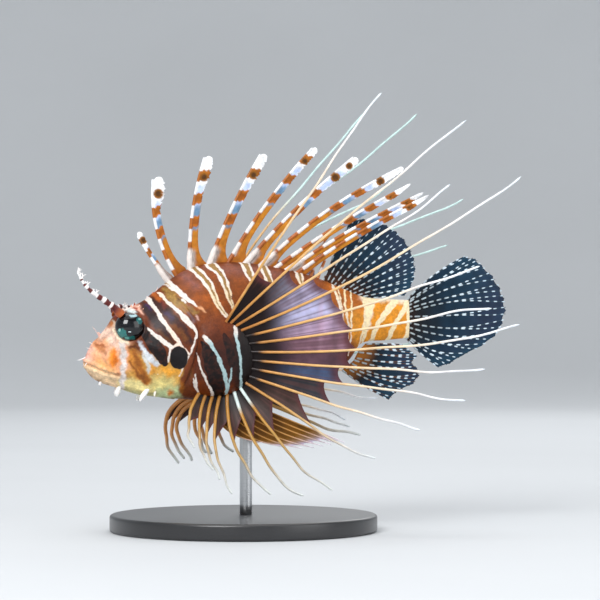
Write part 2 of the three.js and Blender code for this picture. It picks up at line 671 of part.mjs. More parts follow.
// A soft fin whose rays reach the edge of the membrane and end in short free points
function softFin(roots, webShare = SOFT_RAY.share, leading = []) {
  const rows = 3;
  const freeRows = 1;
  const width = (t) => SOFT_RAY.width * (1 + SOFT_RAY.widening * t);
  const thick = (t) => SOFT_RAY.thick * (1 - SOFT_RAY.flattening * t);
  const stems = leading.map((spine) => dorsalSpine(spine, 0, rows, freeRows));
  const rays = roots.map(({ root, angle, length, bend, spread }) => {
    const curve = bentLine(root, angle, length, bend, spread ?? (() => 0));
    return finRay({ curve, webShare, rows, freeRows, lead: width, trail: width, thick });
  });
  const shape = { rows, freeRows, web: SOFT_RAY.web, notch: SOFT_RAY.notch };
  return largest(finSolid(stems.concat(rays), shape).subtract(bodyGrown));
}

// A value that runs from the first to the last of three through the middle one
function through([first, middle, last], share) {
  const ends = first * (1 - share) * (1 - 2 * share) + last * share * (2 * share - 1);
  return ends + 4 * middle * share * (1 - share);
}

function softDorsal() {
  const { from, to, rays, angles, lengths, bend } = SOFT_DORSAL;
  const roots = Array.from({ length: rays }, (_, i) => {
    const share = i / (rays - 1);
    const x = lerp(from, to, share);
    return {
      root: vector(x, 0, back(x) - FIN_SINK.soft),
      angle: lerp(angles[0], angles[1], share),
      length: through(lengths, share) + FIN_SINK.soft,
      bend,
    };
  });
  return softFin(roots, SOFT_RAY.share, SHORT_SPINES);
}

function caudalFin() {
  const { rays, angles, lengths, rootSpan, bend, web } = TAIL_FIN;
  const roots = Array.from({ length: rays }, (_, i) => {
    const share = i / (rays - 1);
    return {
      root: vector(TAIL_END_X - FIN_SINK.tail, 0, lerp(rootSpan[0], rootSpan[1], share)),
      angle: lerp(angles[0], angles[1], share),
      length: through(lengths, share) + FIN_SINK.tail,
      bend: lerp(bend, -bend, share),
    };
  });
  return softFin(roots, web);
}

function analFin() {
  const roots = ANAL_RAYS.map(([x, angle, length, bend]) => ({
    root: vector(x, 0, belly(x) + FIN_SINK.anal), angle, length, bend,
  }));
  return softFin(roots);
}

function pelvicFin(side) {
  const roots = PELVIC_RAYS.map(([x, angle, length, bend]) => ({
    root: vector(x, side * PELVIC.y, belly(x) + PELVIC.sink),
    angle, length, bend,
    spread: (t) => side * PELVIC.spread * length * t,
  }));
  return softFin(roots, PELVIC.web);
}

function tentacle(side) {
  const root = onRim(side, TENTACLE.turn, 0);
  const path = tentaclePath(side).map((step) => root.clone().add(step));
  const radius = taper(TENTACLE.rootRadius, TENTACLE.tipRadius);
  let body = stem(path, radius, radius, vector(0, 1, 0), TENTACLE.sides);
  const line = new THREE.CatmullRomCurve3(path);
  for (let i = 1; i <= TASSEL.count; i += 1) {
    const share = lerp(TASSEL.from, 1, i / (TASSEL.count + 0.6));
    const start = line.getPointAt(share);
    const along = line.getTangentAt(share);
    const out = vector(0.35, side * (i % 2 ? 0.8 : -0.5), 0.9);
    out.addScaledVector(along, 0.3).normalize();
    const tip = start.clone().addScaledVector(out, TASSEL.length * (0.7 + 0.4 * Math.sin(i * 2.1)));
    const width = taper(TASSEL.width, TASSEL.tipWidth);
    const thick = taper(TASSEL.thick, TASSEL.tipThick);
    body = body.add(stem([start, tip], width, thick, along, 4));
  }
  const head = headBody.add(eyeShape(side));
  for (const push of [[-GAP, 0, 0], [GAP, 0, 0], [0, side * GAP, 0], [0, -side * GAP, 0], [0, 0, GAP]]) {
    body = body.subtract(head.translate(push));
  }
  return largest(body);
}

// The left tentacle leans forward over the snout, the right one lies back and outward
function tentaclePath(side) {
  const left = [[0, 0, 0], [-3, -0.8, 3], [-7, -1.6, 4.6], [-10.5, -2.2, 8], [-14.5, -2.6, 11],
    [-17.5, -2.8, 18.6]];
  const right = [[0, 0, 0], [-0.5, 2.5, 2], [1.5, 5.5, 3.2], [5.5, 8.5, 3.2], [10.5, 11, 3],
    [15.5, 13.5, 4]];
  return (side < 0 ? left : right).map(([x, y, z]) => vector(x, y, z));
}

function standBase() {
  const { radius, height, edge, sides } = STAND;
  const profile = [[0, 0], [radius - edge, 0], [radius, edge], [radius, height - edge],
    [radius - edge, height], [0, height]].map(([r, z]) => new THREE.Vector2(r, z));
  const base = new THREE.LatheGeometry(profile, sides);
  base.rotateX(Math.PI / 2);
  return manifold(base);
}

function standRod() {
  const bottom = STAND.height + GAP;
  const top = belly(ROD.x) + ROD.reach;
  const rod = new THREE.CylinderGeometry(ROD.radius, ROD.radius, top - bottom, ROD.sides);
  rod.rotateX(Math.PI / 2);
  rod.translate(ROD.x, 0, (top + bottom) / 2);
  return largest(manifold(rod).subtract(bodyGrown));
}

const headBody = headSolid();
const model = new THREE.Group();

function addNode(name, body, color, roughness = 0.5, metalness = 0) {
  const material = new THREE.MeshStandardMaterial({ color, roughness, metalness });
  const mesh = new THREE.Mesh(geometryOf(body), material);
  mesh.name = name;
  model.add(mesh);
}

addNode('head', headBody, COLOURS.head);
addNode('torso', torsoSolid(), COLOURS.body);
addNode('tail_peduncle', tailSolid(), COLOURS.tail);
addNode('dorsal_fin_spiny', spinyDorsal(), COLOURS.spine);
addNode('dorsal_fin_soft', softDorsal(), COLOURS.soft);
addNode('caudal_fin', caudalFin(), COLOURS.soft);
addNode('anal_fin', analFin(), COLOURS.soft);
for (const [word, side] of [['left', -1], ['right', 1]]) {
  const rays = side < 0 ? LEFT_RAYS : RIGHT_RAYS;
  const spread = side < 0 ? LEFT_SPREAD : RIGHT_SPREAD;
  addNode(`eye_${word}`, eyeShape(side), COLOURS.eye, 0.1);
  addNode(`tentacle_${word}`, tentacle(side), COLOURS.tentacle);
  addNode(`pectoral_fin_${word}`, pectoralFin(side, rays, spread), COLOURS.ray);
  addNode(`pelvic_fin_${word}`, pelvicFin(side), COLOURS.ray);
}
addNode('stand_base', standBase(), COLOURS.base, 0.35);
addNode('stand_rod', standRod(), COLOURS.rod, 0.3, 1);

export default model;
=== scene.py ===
"""Looks of the spotfin lionfish on its display stand.

Shapes are worked out in millimetres with +Z up, the head towards -X and the left flank
towards -Y, and turned to metres where a mesh is made.
"""
import math

import bpy
import numpy as np
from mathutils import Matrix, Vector


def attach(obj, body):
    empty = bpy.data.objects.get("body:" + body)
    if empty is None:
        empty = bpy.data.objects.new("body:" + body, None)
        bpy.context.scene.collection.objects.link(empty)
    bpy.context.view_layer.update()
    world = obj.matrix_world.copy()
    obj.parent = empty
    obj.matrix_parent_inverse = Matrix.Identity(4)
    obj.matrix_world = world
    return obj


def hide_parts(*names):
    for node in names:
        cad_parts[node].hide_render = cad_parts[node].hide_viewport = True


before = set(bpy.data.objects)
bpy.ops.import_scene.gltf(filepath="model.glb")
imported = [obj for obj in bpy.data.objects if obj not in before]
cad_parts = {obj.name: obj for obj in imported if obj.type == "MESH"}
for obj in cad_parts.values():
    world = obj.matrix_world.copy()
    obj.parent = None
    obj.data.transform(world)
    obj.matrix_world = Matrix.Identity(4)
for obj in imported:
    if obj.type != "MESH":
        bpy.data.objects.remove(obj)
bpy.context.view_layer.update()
MM = 0.001

# Body: [x, size] from snout to tail for the back, the belly and half the width
SNOUT_X = -66.9
HEAD_FLEX_X = -52.0
TAIL_END_X = 70.5
BACK_LINE = [
    (-66.9, 71.1), (-66.2, 73.6), (-65, 76.2), (-63.4, 79), (-60.7, 81.5), (-56.9, 86.4),
    (-52.8, 91), (-47.7, 93.6), (-41.5, 96.6), (-36, 101.2), (-31.8, 104.6), (-24.7, 109),
    (-13.3, 112), (0.6, 112.2), (15.5, 110), (28.3, 107), (42.4, 101.4), (51, 98), (60.4, 97),
    (70.5, 96.6),
]
BELLY_LINE = [
    (-66.9, 69.9), (-66.1, 67.6), (-64.4, 65.2), (-62.3, 63.5), (-59.8, 62.2), (-53.2, 60.1),
    (-45.7, 57.6), (-39.4, 56.6), (-33.1, 55.9), (-26.8, 55.4), (-18.4, 55), (-5.7, 55.9),
    (4.9, 58), (15.5, 60.8), (28.3, 64), (41, 68), (45.5, 72), (50, 78.2), (60.4, 79.6),
    (70.5, 80.6),
]
HALF_WIDTH = [
    (-66.9, 0.8), (-66, 3.2), (-64.4, 4.9), (-61, 6.5), (-56, 7.9), (-50, 9.2), (-44, 10.6),
    (-36, 12.6), (-27, 14.2), (-18, 14.6), (-5, 14), (8, 12.8), (24, 10.4), (38, 7.6),
    (50, 5.2), (60, 4), (70.5, 2.7),
]
BACK_NARROWING = 0.22
BELLY_NARROWING = 0.1
GILL_X, GILL_TOP, GILL_BOTTOM, GILL_POWER = -21.5, 16.5, 8.0, 1.6
GILL_COVER_RISE = 0.8
EYE = {"x": -49.0, "z": 85.5, "y": 9.2, "radius": 6.0, "depth": 4.6}
LOBE = {"x": -11.5, "reach": 15.6, "angle": -31.0, "turn": 45.0, "rise": 1.8}
# Round swellings of the head as [x, z, height, width]: eye socket, jaw and the nose's dip
SWELLINGS = [(EYE["x"], EYE["z"], 1.7, 7), (-58, 70.5, 1.1, 5), (-57.5, 81.5, -0.7, 3.2)]
CHEEK_RIDGE = {"height": 0.9, "x": -44, "z": 79, "slope": -0.42, "width": 2.2, "middle": -37,
               "length": 9}


# Numbers and colours
def linear(hex_colour):
    """An sRGB hex colour as linear red, green and blue."""
    channels = [int(hex_colour[i:i + 2], 16) / 255 for i in (1, 3, 5)]
    return [c / 12.92 if c <= 0.04045 else ((c + 0.055) / 1.055) ** 2.4 for c in channels]


def rgba(hex_colour):
    return (*linear(hex_colour), 1.0)


def bump(distance, width):
    return np.exp(-((distance / width) ** 2))


def ease(value, start, end):
    """0 before start and 1 after end, with a smooth step between them."""
    t = np.clip((value - start) / (end - start), 0, 1)
    return t * t * (3 - 2 * t)


def lerp(a, b, t):
    return a + (b - a) * t


def smooth_line(pairs):
    """A smooth line through (x, value) pairs that never overshoots a pair."""
    knots = np.array([pair[0] for pair in pairs], float)
    values = np.array([pair[1] for pair in pairs], float)
    before = np.maximum(np.arange(len(pairs)) - 1, 0)
    after = np.minimum(np.arange(len(pairs)) + 1, len(pairs) - 1)
    slope = (values[after] - values[before]) / (knots[after] - knots[before])

    def line(x):
        x = np.asarray(x, float)
        i = np.clip(np.searchsorted(knots[1:-1], x, side="left"), 0, len(pairs) - 2)
        span = knots[i + 1] - knots[i]
        t = np.clip((x - knots[i]) / span, 0, 1)
        rise = (t**3 - 2 * t**2 + t) * slope[i] * span + (t**3 - t**2) * slope[i + 1] * span
        return (2 * t**3 - 3 * t**2 + 1) * values[i] + (3 * t**2 - 2 * t**3) * values[i + 1] + rise

    return line


back = smooth_line(BACK_LINE)
belly = smooth_line(BELLY_LINE)
half_width = smooth_line(HALF_WIDTH)


# The body's surface
def gill_edge(angle):
    """Where the gill cover ends at each angle round the body."""
    up = np.sin(angle)
    top = GILL_TOP * np.maximum(0, up) ** GILL_POWER
    return GILL_X - top - GILL_BOTTOM * np.maximum(0, -up) ** GILL_POWER


def head_swellings(x, z):
    """Height of the round swellings and of the slanting ridge on the cheek."""
    swellings = sum(height * bump(np.hypot(x - px, z - pz), width)
                    for px, pz, height, width in SWELLINGS)
    crest = CHEEK_RIDGE["z"] + CHEEK_RIDGE["slope"] * (x - CHEEK_RIDGE["x"])
    ridge = CHEEK_RIDGE["height"] * bump(z - crest, CHEEK_RIDGE["width"])
    return swellings + ridge * bump(x - CHEEK_RIDGE["middle"], CHEEK_RIDGE["length"])


def skin_point(x, angle, grow=0.0, swell=True):
    """Points of the body's skin. Angle 0 is the left flank and a quarter turn the back."""
    x, angle = np.broadcast_arrays(np.asarray(x, float), np.asarray(angle, float))
    top, bottom = back(x), belly(x)
    up, side = np.sin(angle), np.cos(angle)
    tall = (top - bottom) / 2
    z = (top + bottom) / 2 + tall * up
    narrow = 1 - BACK_NARROWING * np.maximum(0, up) ** 2 - BELLY_NARROWING * np.maximum(0, -up) ** 2
    width = half_width(x) * narrow
    rise = grow
    if swell:
        rise = grow + head_swellings(x, z) * np.abs(side) ** 0.7
    scale = 1 / np.hypot(side / width, up / tall)
    out_y = side / width * scale
    out_z = up / tall * scale
    return np.stack([x, -(width * side + rise * out_y), z + rise * out_z], -1)


def skin_normal(x, angle, step=0.2, turn=0.02):
    """Outward directions at points of the skin, from their neighbours a step or a turn away."""
    along = skin_point(x + step, angle) - skin_point(x - step, angle)
    around = skin_point(x, angle + turn) - skin_point(x, angle - turn)
    normal = np.cross(along, around)
    return normal / np.linalg.norm(normal, axis=-1, keepdims=True)


def angle_at(x, z):
    """The angle round the section at which the left flank passes height z."""
    middle = (back(x) + belly(x)) / 2
    return np.arcsin(np.clip((z - middle) / ((back(x) - belly(x)) / 2), -1, 1))


def on_side(points, side):
    """Points made for the left flank, put on side -1 (left) or 1 (right)."""
    points = np.array(points, float)
    points[..., 1] *= -side
    return points


FAR_OUTSIDE = -1e3  # the depth of a place far from every stroke, in millimetres


def depth_in(stroke, x, z):
    """How deep a place lies inside a stroke of [x, z, half width], in millimetres."""
    stroke = [stroke[0], *stroke] if len(stroke) == 1 else stroke
    best = np.full(np.shape(x), FAR_OUTSIDE)
    for (x0, z0, w0), (x1, z1, w1) in zip(stroke, stroke[1:]):
        length = max((x1 - x0) ** 2 + (z1 - z0) ** 2, 1e-9)
        t = np.clip(((x - x0) * (x1 - x0) + (z - z0) * (z1 - z0)) / length, 0, 1)
        gap = np.hypot(x - x0 - t * (x1 - x0), z - z0 - t * (z1 - z0))
        best = np.maximum(best, w0 + (w1 - w0) * t - gap)
    return best


# Making meshes
def on_stage(name, data):
    """Puts a mesh, a lamp or a camera into the scene as an object."""
    piece = bpy.data.objects.new(name, data)
    bpy.context.scene.collection.objects.link(piece)
    return piece


def carry(mesh, marks):
    """Gives each point of a mesh its marks: numbers, or colours where a mark has three columns."""
    for key, values in marks.items():
        values = np.asarray(values, np.float32)
        if values.ndim == 1:
            mesh.attributes.new(key, "FLOAT", "POINT").data.foreach_set("value", values)
        else:
            colours = np.hstack([values, np.ones((len(values), 1), np.float32)])
            attribute = mesh.attributes.new(key, "FLOAT_COLOR", "POINT")
            attribute.data.foreach_set("color", colours.ravel())


def mesh_object(name, points, faces, material, marks=None):
    """A smooth mesh from points in millimetres, with the marks that its points carry."""
    mesh = bpy.data.meshes.new(name)
    mesh.from_pydata((np.asarray(points) * MM).tolist(), [], [list(map(int, f)) for f in faces])
    mesh.shade_smooth()
    carry(mesh, marks or {})
    mesh.materials.append(material)
    return on_stage(name, mesh)


def place(piece, slot, *nodes):
    """The piece rides on the body and stands for the CAD nodes, which are hidden. slot is not used.
    """
    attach(piece, "root")
    if nodes:
        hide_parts(*nodes)


def grid_faces(rows, columns, wrap, start=0):
    """Quads of a grid of points, closed round its columns if wrap is true."""
    strips = columns if wrap else columns - 1
    i, j = np.meshgrid(np.arange(rows - 1), np.arange(strips), indexing="ij")
    a = start + i * columns + j
    b = start + i * columns + (j + 1) % columns
    return np.stack([a, b, b + columns, a + columns], -1).reshape(-1, 4)


def ring_faces(rings, sides):
    """Faces of a closed skin over rings of points, whose two poles follow the last ring."""
    faces = [tuple(face) for face in grid_faces(rings, sides, True)]
    pole = rings * sides
    last_ring = pole - sides
    for j in range(sides):
        after = (j + 1) % sides
        faces += [(pole, after, j), (pole + 1, last_ring + j, last_ring + after)]
    return faces


def with_poles(rings):
    """Values of each ring's points, then the means of the first and the last ring for the poles."""
    values = rings.reshape(-1, *rings.shape[2:])
    return np.concatenate([values, [rings[0].mean(0)], [rings[-1].mean(0)]])


def circles(profile, sides):
    """Points of a circle round the Z axis for each [radius, z] pair."""
    turn = np.arange(sides) * 2 * np.pi / sides
    return np.vstack([np.stack([r * np.cos(turn), r * np.sin(turn), np.full(sides, z)], -1)
                      for r, z in profile])


def face_outwards(piece):
    """The piece, with the faces of its closed mesh turned outwards."""
    mesh = piece.data
    mesh.calc_loop_triangles()
    count = len(mesh.loop_triangles)
    corners = np.zeros(count * 3, int)
    mesh.loop_triangles.foreach_get("vertices", corners)
    places = np.zeros(len(mesh.vertices) * 3)
    mesh.vertices.foreach_get("co", places)
    tri = places.reshape(-1, 3)[corners.reshape(-1, 3)]
    volume = np.einsum("ij,ij->i", tri[:, 0], np.cross(tri[:, 1], tri[:, 2])).sum()
    if volume < 0:
        mesh.flip_normals()
    return piece


# Node trees
def add(tree, kind, inputs=None, **settings):
    """Adds one node. inputs maps a socket's name or number to a value or another socket."""
    node = tree.nodes.new(kind)
    for key, value in settings.items():
        setattr(node, key, value)
    for key, value in (inputs or {}).items():
        socket = node.inputs[key]
        if isinstance(value, bpy.types.NodeSocket):
            tree.links.new(value, socket)
        else:
            socket.default_value = value
    return node


def new_material(name):
    """An empty material, its tree and its surface shader."""
    material = bpy.data.materials.new(name)
    material.use_nodes = True
    tree = material.node_tree
    tree.nodes.clear()
    shader = add(tree, "ShaderNodeBsdfPrincipled")
    add(tree, "ShaderNodeOutputMaterial", {"Surface": shader.outputs["BSDF"]})
    return material, tree, shader


def finish_of(shader, **values):
    """Sets constants on the shader's own sockets."""
    for key, value in values.items():
        shader.inputs[key.replace("_", " ")].default_value = value


# Painting pieces point by point
def graded(stops, value):
    """Painted colours at value, between [place, hex colour] stops."""
    places = [where for where, _ in stops]
    channels = np.array([linear(colour) for _, colour in stops])
    return np.stack([np.interp(value, places, channels[:, k]) for k in range(3)], -1)


def laid(painted, colour, share):
    """A share of a hex colour laid over painted colours."""
    return lerp(painted, np.array(linear(colour)), np.asarray(share, float)[..., None])


# The body's skin
SKIN_SIDES = 224
HEAD_ROWS = 172
TORSO_ROWS = 236
FLANK_CROWDING = 0.15
SNOUT_CROWDING = {"power": 1.7, "even_share": 0.25}
GILL_SLOPE = 9.0  # the gill cover rises over this length
# Steps over the gill cover's edge: [distance behind it, height]
EDGE_STEPS = [(0.0, 0.8), (0.14, 0.62), (0.2, 0.2), (0.22, -0.3), (0.5, -0.35), (1.0, -0.12)]
MOUTH_LINE = [(-67.2, 70.6), (-64, 69.0), (-60, 67.2), (-56.5, 66.2), (-53.4, 65.6)]
SOCKET = {"depth": 4.0, "from": 5.0, "to": 5.8, "rim": 0.9, "rim_at": 6.5, "rim_width": 0.95}
LIPS = {"upper": 0.75, "lower": 0.55, "away": 1.15, "width": 0.75, "groove": 0.85,
        "groove_width": 0.42}
JAW_FOLD = {"line": [(-53.6, 66, 0), (-50, 68.5, 0), (-47, 73, 0)], "depth": 0.35, "width": 0.5}


# Markings, in side view
SKIN_GROUND, LINE_GROUND = "#6c2e08", "#e2d8cf"
TINT_STRAY, MARK_STRAY = 0.36, 0.15  # how far painted edges wander, in millimetres
# Soft tints in painting order: colour, softness in mm, stroke of [x, z, half width]
SKIN_TINTS = [
    ("#864210", 6, [(-24, 98, 10), (0, 102, 9), (30, 98, 8)]),  # rusty back
    # The next two tints are painted sheen: violet highlights along the top of the back
    ("#84524a", 3, [(-27, 107.5, 1.2), (-24.4, 105.6, 1.6), (-21, 102.5, 1.2)]),  # painted violet sheen on the nape
    ("#7a4638", 3, [(-10, 109, 1.2), (2, 109, 2), (14, 107, 1.4)]),
    # orange-brown behind the head
    ("#9c4e12", 3, [(-24, 96, 1.2), (-18, 97, 2.0), (-13, 94, 1.6)]),
    ("#3e180c", 5, [(-12, 72, 9), (20, 74, 12), (34, 80, 7)]),  # dark lower flank: painted shade under the fan fin
    ("#100403", 3.5, [(-4, 88, 2.4), (0, 80, 6), (2, 66, 8)]),  # painted shade under the fan fin's root
    ("#a85a18", 5, [(38, 92, 9), (48, 88, 12)]),  # rear flank
    ("#dd8e1e", 1.6, [(54, 88, 12), (72, 88, 12)]),  # amber tail
    ("#b0601c", 3, [(40, 102, 5), (48, 97, 5)]),  # rusty root of the rear fin
    ("#f3e4c8", 1.4, [(50.4, 98, 1.4), (60, 97.4, 1.4), (71, 96.6, 1.6)]),  # cream top of the tail
    ("#f6ecdc", 0.8, [(53.2, 98, 2.2), (52.4, 90, 1.5), (51.6, 84, 0.9)]),
    ("#cd9a4a", 3, [(-44, 67, 7), (-30, 66, 5)]),  # golden cheek
    ("#ecd98c", 2.5, [(-44, 60.5, 3.6), (-34, 61.5, 3.6)]),  # yellow throat
    ("#cbd8a2", 1.8, [(-35.5, 57.6, 2.2), (-28.0, 58.6, 2.8)]),  # its pale green rear
    ("#f2ac80", 3, [(-62.5, 74, 6), (-55, 74, 8)]),  # peach snout
    ("#f4b6a4", 1.6, [(-65.4, 76, 1.8), (-66.2, 72.4, 1.5)]),  # pink tip
    ("#efc8b2", 1.6, [(-60.5, 82.4, 1.8), (-57, 83.4, 2.2), (-55.2, 79.4, 2.0), (-54, 76.7, 1.0)]),
    ("#f6b070", 1.8, [(-61, 70.6, 1.8), (-56.4, 67.6, 1.6)]),
    ("#f6d2a6", 1.4, [(-66, 69.0, 1.4), (-62.6, 66.8, 2.2), (-57.6, 64.4, 2.8), (-52, 62.0, 2.6)]),
    ("#eedc98", 1.6, [(-51, 62, 2.4), (-45.8, 60.8, 2.4), (-41, 59.2, 1.8)]),
    ("#cfca90", 0.9, [(-50, 58.8, 0.6), (-44, 57.6, 0.9), (-38, 56.6, 1.1)]),  # greenish lower edge
    # brown nose spot
    ("#b87648", 1.1, [(-61.6, 77.4, 1.0), (-60.1, 76.2, 1.6), (-58.9, 75.2, 0.9)]),
    ("#96522c", 0.6, [(-62.2, 78.2, 0.35), (-60.4, 78.2, 0.5), (-59, 77.0, 0.35)]),
    ("#ee8a2a", 1.0, [(-55.6, 75.2, 1.2), (-56.0, 72.4, 1.8), (-55.2, 69.6, 0.9)]),  # orange spot
    ("#e2761c", 0.8, [(-55.0, 74.6, 0.8), (-54.8, 71.4, 1.0)]),
    ("#e8dcd6", 0.6, [(-52.0, 79.2, 1.1), (-51.6, 75.7, 1.25), (-51.3, 71.4, 1.3),
                      (-51.4, 67.0, 1.0), (-51.5, 62.7, 1.1), (-51.5, 60.2, 0.9)]),
    ("#c07c30", 0.9, [(-47.6, 76.4, 1.6), (-47.3, 72.4, 2.5), (-45.4, 68.1, 2.7),
                      (-43.1, 64.9, 2.1), (-41.1, 62.4, 1.4)]),  # mottled bar of the cheek
    ("#a05c1c", 0.7, [(-47.0, 75.2, 0.9), (-45.9, 71.4, 1.2), (-43.6, 66.6, 1.1),
                      (-41.4, 63.0, 1.0)]),
    ("#6c3410", 0.6, [(-48.7, 77.5, 0.7), (-46.1, 76.9, 0.8)]),  # its dark top
    ("#8a4e1a", 0.6, [(-48.4, 70.6, 0.5), (-45.8, 66.4, 0.7), (-42.2, 62.8, 0.7)]),
    ("#d0d4da", 0.5, [(-44.6, 79.0, 0.7), (-43.9, 76.7, 0.95), (-42.3, 74.1, 1.15),
                      (-40.2, 71.9, 1.3), (-37.6, 69.9, 1.0)]),  # pale blue patch of the cheek
    ("#ccccc6", 0.5, [(-43.1, 73.5, 0.7), (-41.8, 70.3, 0.85), (-40.8, 67.0, 0.6)]),
    ("#e09a3c", 0.7, [(-39.8, 69.8, 0.7), (-39.4, 66.8, 0.9)]),
    # gold by the spot
    ("#e8a236", 1.2, [(-35.0, 68.6, 1.2), (-32.9, 66.7, 1.7), (-29.8, 67.2, 1.1)]),
    ("#cf7424", 0.9, [(-31.6, 58.7, 1.1)]),  # spot of the throat
    ("#6e3414", 1.0, [(-24.2, 72.4, 1.3), (-25.6, 67.0, 1.7), (-25.8, 62.7, 2.6),
                      (-24.8, 58.0, 2.6)]),
    ("#b46a24", 0.8, [(-27.4, 62.0, 0.8), (-26.8, 59.0, 0.9)]),
    # white over the eye
    ("#f4e6dc", 0.9, [(-51.1, 92.0, 1.1), (-48.9, 93.2, 1.3), (-47.2, 92.6, 0.9)]),
    ("#efb49c", 0.8, [(-50.0, 94.6, 0.8), (-47.3, 95.0, 1.0), (-45.0, 93.3, 1.0),
                      (-43.3, 91.5, 0.7)]),
    ("#a03c24", 0.4, [(-46.0, 93.8, 0.4), (-45.2, 92.6, 0.5)]),
    ("#cfdcda", 0.6, [(-48.4, 91.8, 0.8), (-46.6, 91.0, 0.6)]),  # painted reflection: a pale streak at the eye's top rim
    # maroon before it
    ("#6a241c", 0.9, [(-54.9, 93.0, 1.3), (-52.4, 91.4, 1.5), (-53.8, 90.0, 1.2)]),
    ("#b06830", 0.7, [(-55.9, 88.4, 0.9), (-56.0, 85.6, 0.8)]),  # orange-brown rim
    ("#f2dcc0", 0.6, [(-54.6, 87.4, 0.3), (-54.7, 84.7, 0.45), (-53.6, 80.9, 0.8),
                      (-50.2, 78.9, 0.8)]),
    # band above the pale line behind the eye
    ("#2c1618", 1.0, [(-42.2, 94.2, 1.3), (-40.0, 90.4, 2.0), (-37.0, 86.0, 2.1),
                      (-34.0, 82.0, 1.6), (-32.0, 79.2, 0.7)]),
    ("#3a2244", 0.8, [(-41.4, 94.6, 0.8), (-40.4, 93.0, 0.7)]),  # violet specks in it
    ("#5a3416", 0.8, [(-37.2, 84.4, 0.7), (-34.6, 81.2, 0.8), (-32.4, 79.2, 0.6)]),
    ("#3a1a14", 1.0, [(-38.4, 95.8, 1.5), (-34.4, 92.2, 2.2), (-30.4, 87.6, 2.3),
                      (-27.2, 83.4, 2.3), (-24.6, 79.8, 1.3)]),  # the next band
    ("#3a2244", 0.9, [(-34.2, 91.2, 0.8), (-31.8, 89.6, 1.1)]),
    ("#6e3c16", 0.9, [(-31.8, 85.8, 0.9), (-29.0, 84.0, 1.3), (-26.6, 81.0, 1.3)]),
    ("#b0591c", 0.8, [(-38.2, 99.3, 0.8), (-37.4, 98.0, 1.2), (-36.0, 96.6, 0.9)]),  # its rusty top
    ("#742a1c", 0.7, [(-35.4, 95.4, 0.7), (-34.2, 93.8, 0.6)]),
    # olive-tan field
    ("#a27c3c", 0.9, [(-33.8, 101.0, 0.9), (-32.1, 99.1, 1.9), (-29.5, 96.1, 2.1),
                      (-26.8, 93.3, 1.4), (-23.2, 91.9, 0.9), (-21.6, 91.4, 0.5)]),
    ("#8a5a26", 1.0, [(-27.4, 93.4, 0.9), (-23.6, 91.9, 0.8)]),
    ("#6a4012", 0.5, [(-29.4, 97.8, 0.5), (-28.8, 96.8, 0.6)]),
    ("#7c5c5c", 0.8, [(-25.2, 91.0, 0.5), (-23.8, 89.4, 0.8), (-22.9, 87.6, 0.5)]),
    ("#e8a878", 0.5, [(-21.4, 94.1, 0.4), (-20.2, 93.3, 0.6), (-18.6, 92.3, 0.6)]),  # orange end
    ("#e8bcac", 0.4, [(-21.4, 90.0, 0.35), (-21.2, 88.5, 0.45)]),  # pale drop
]
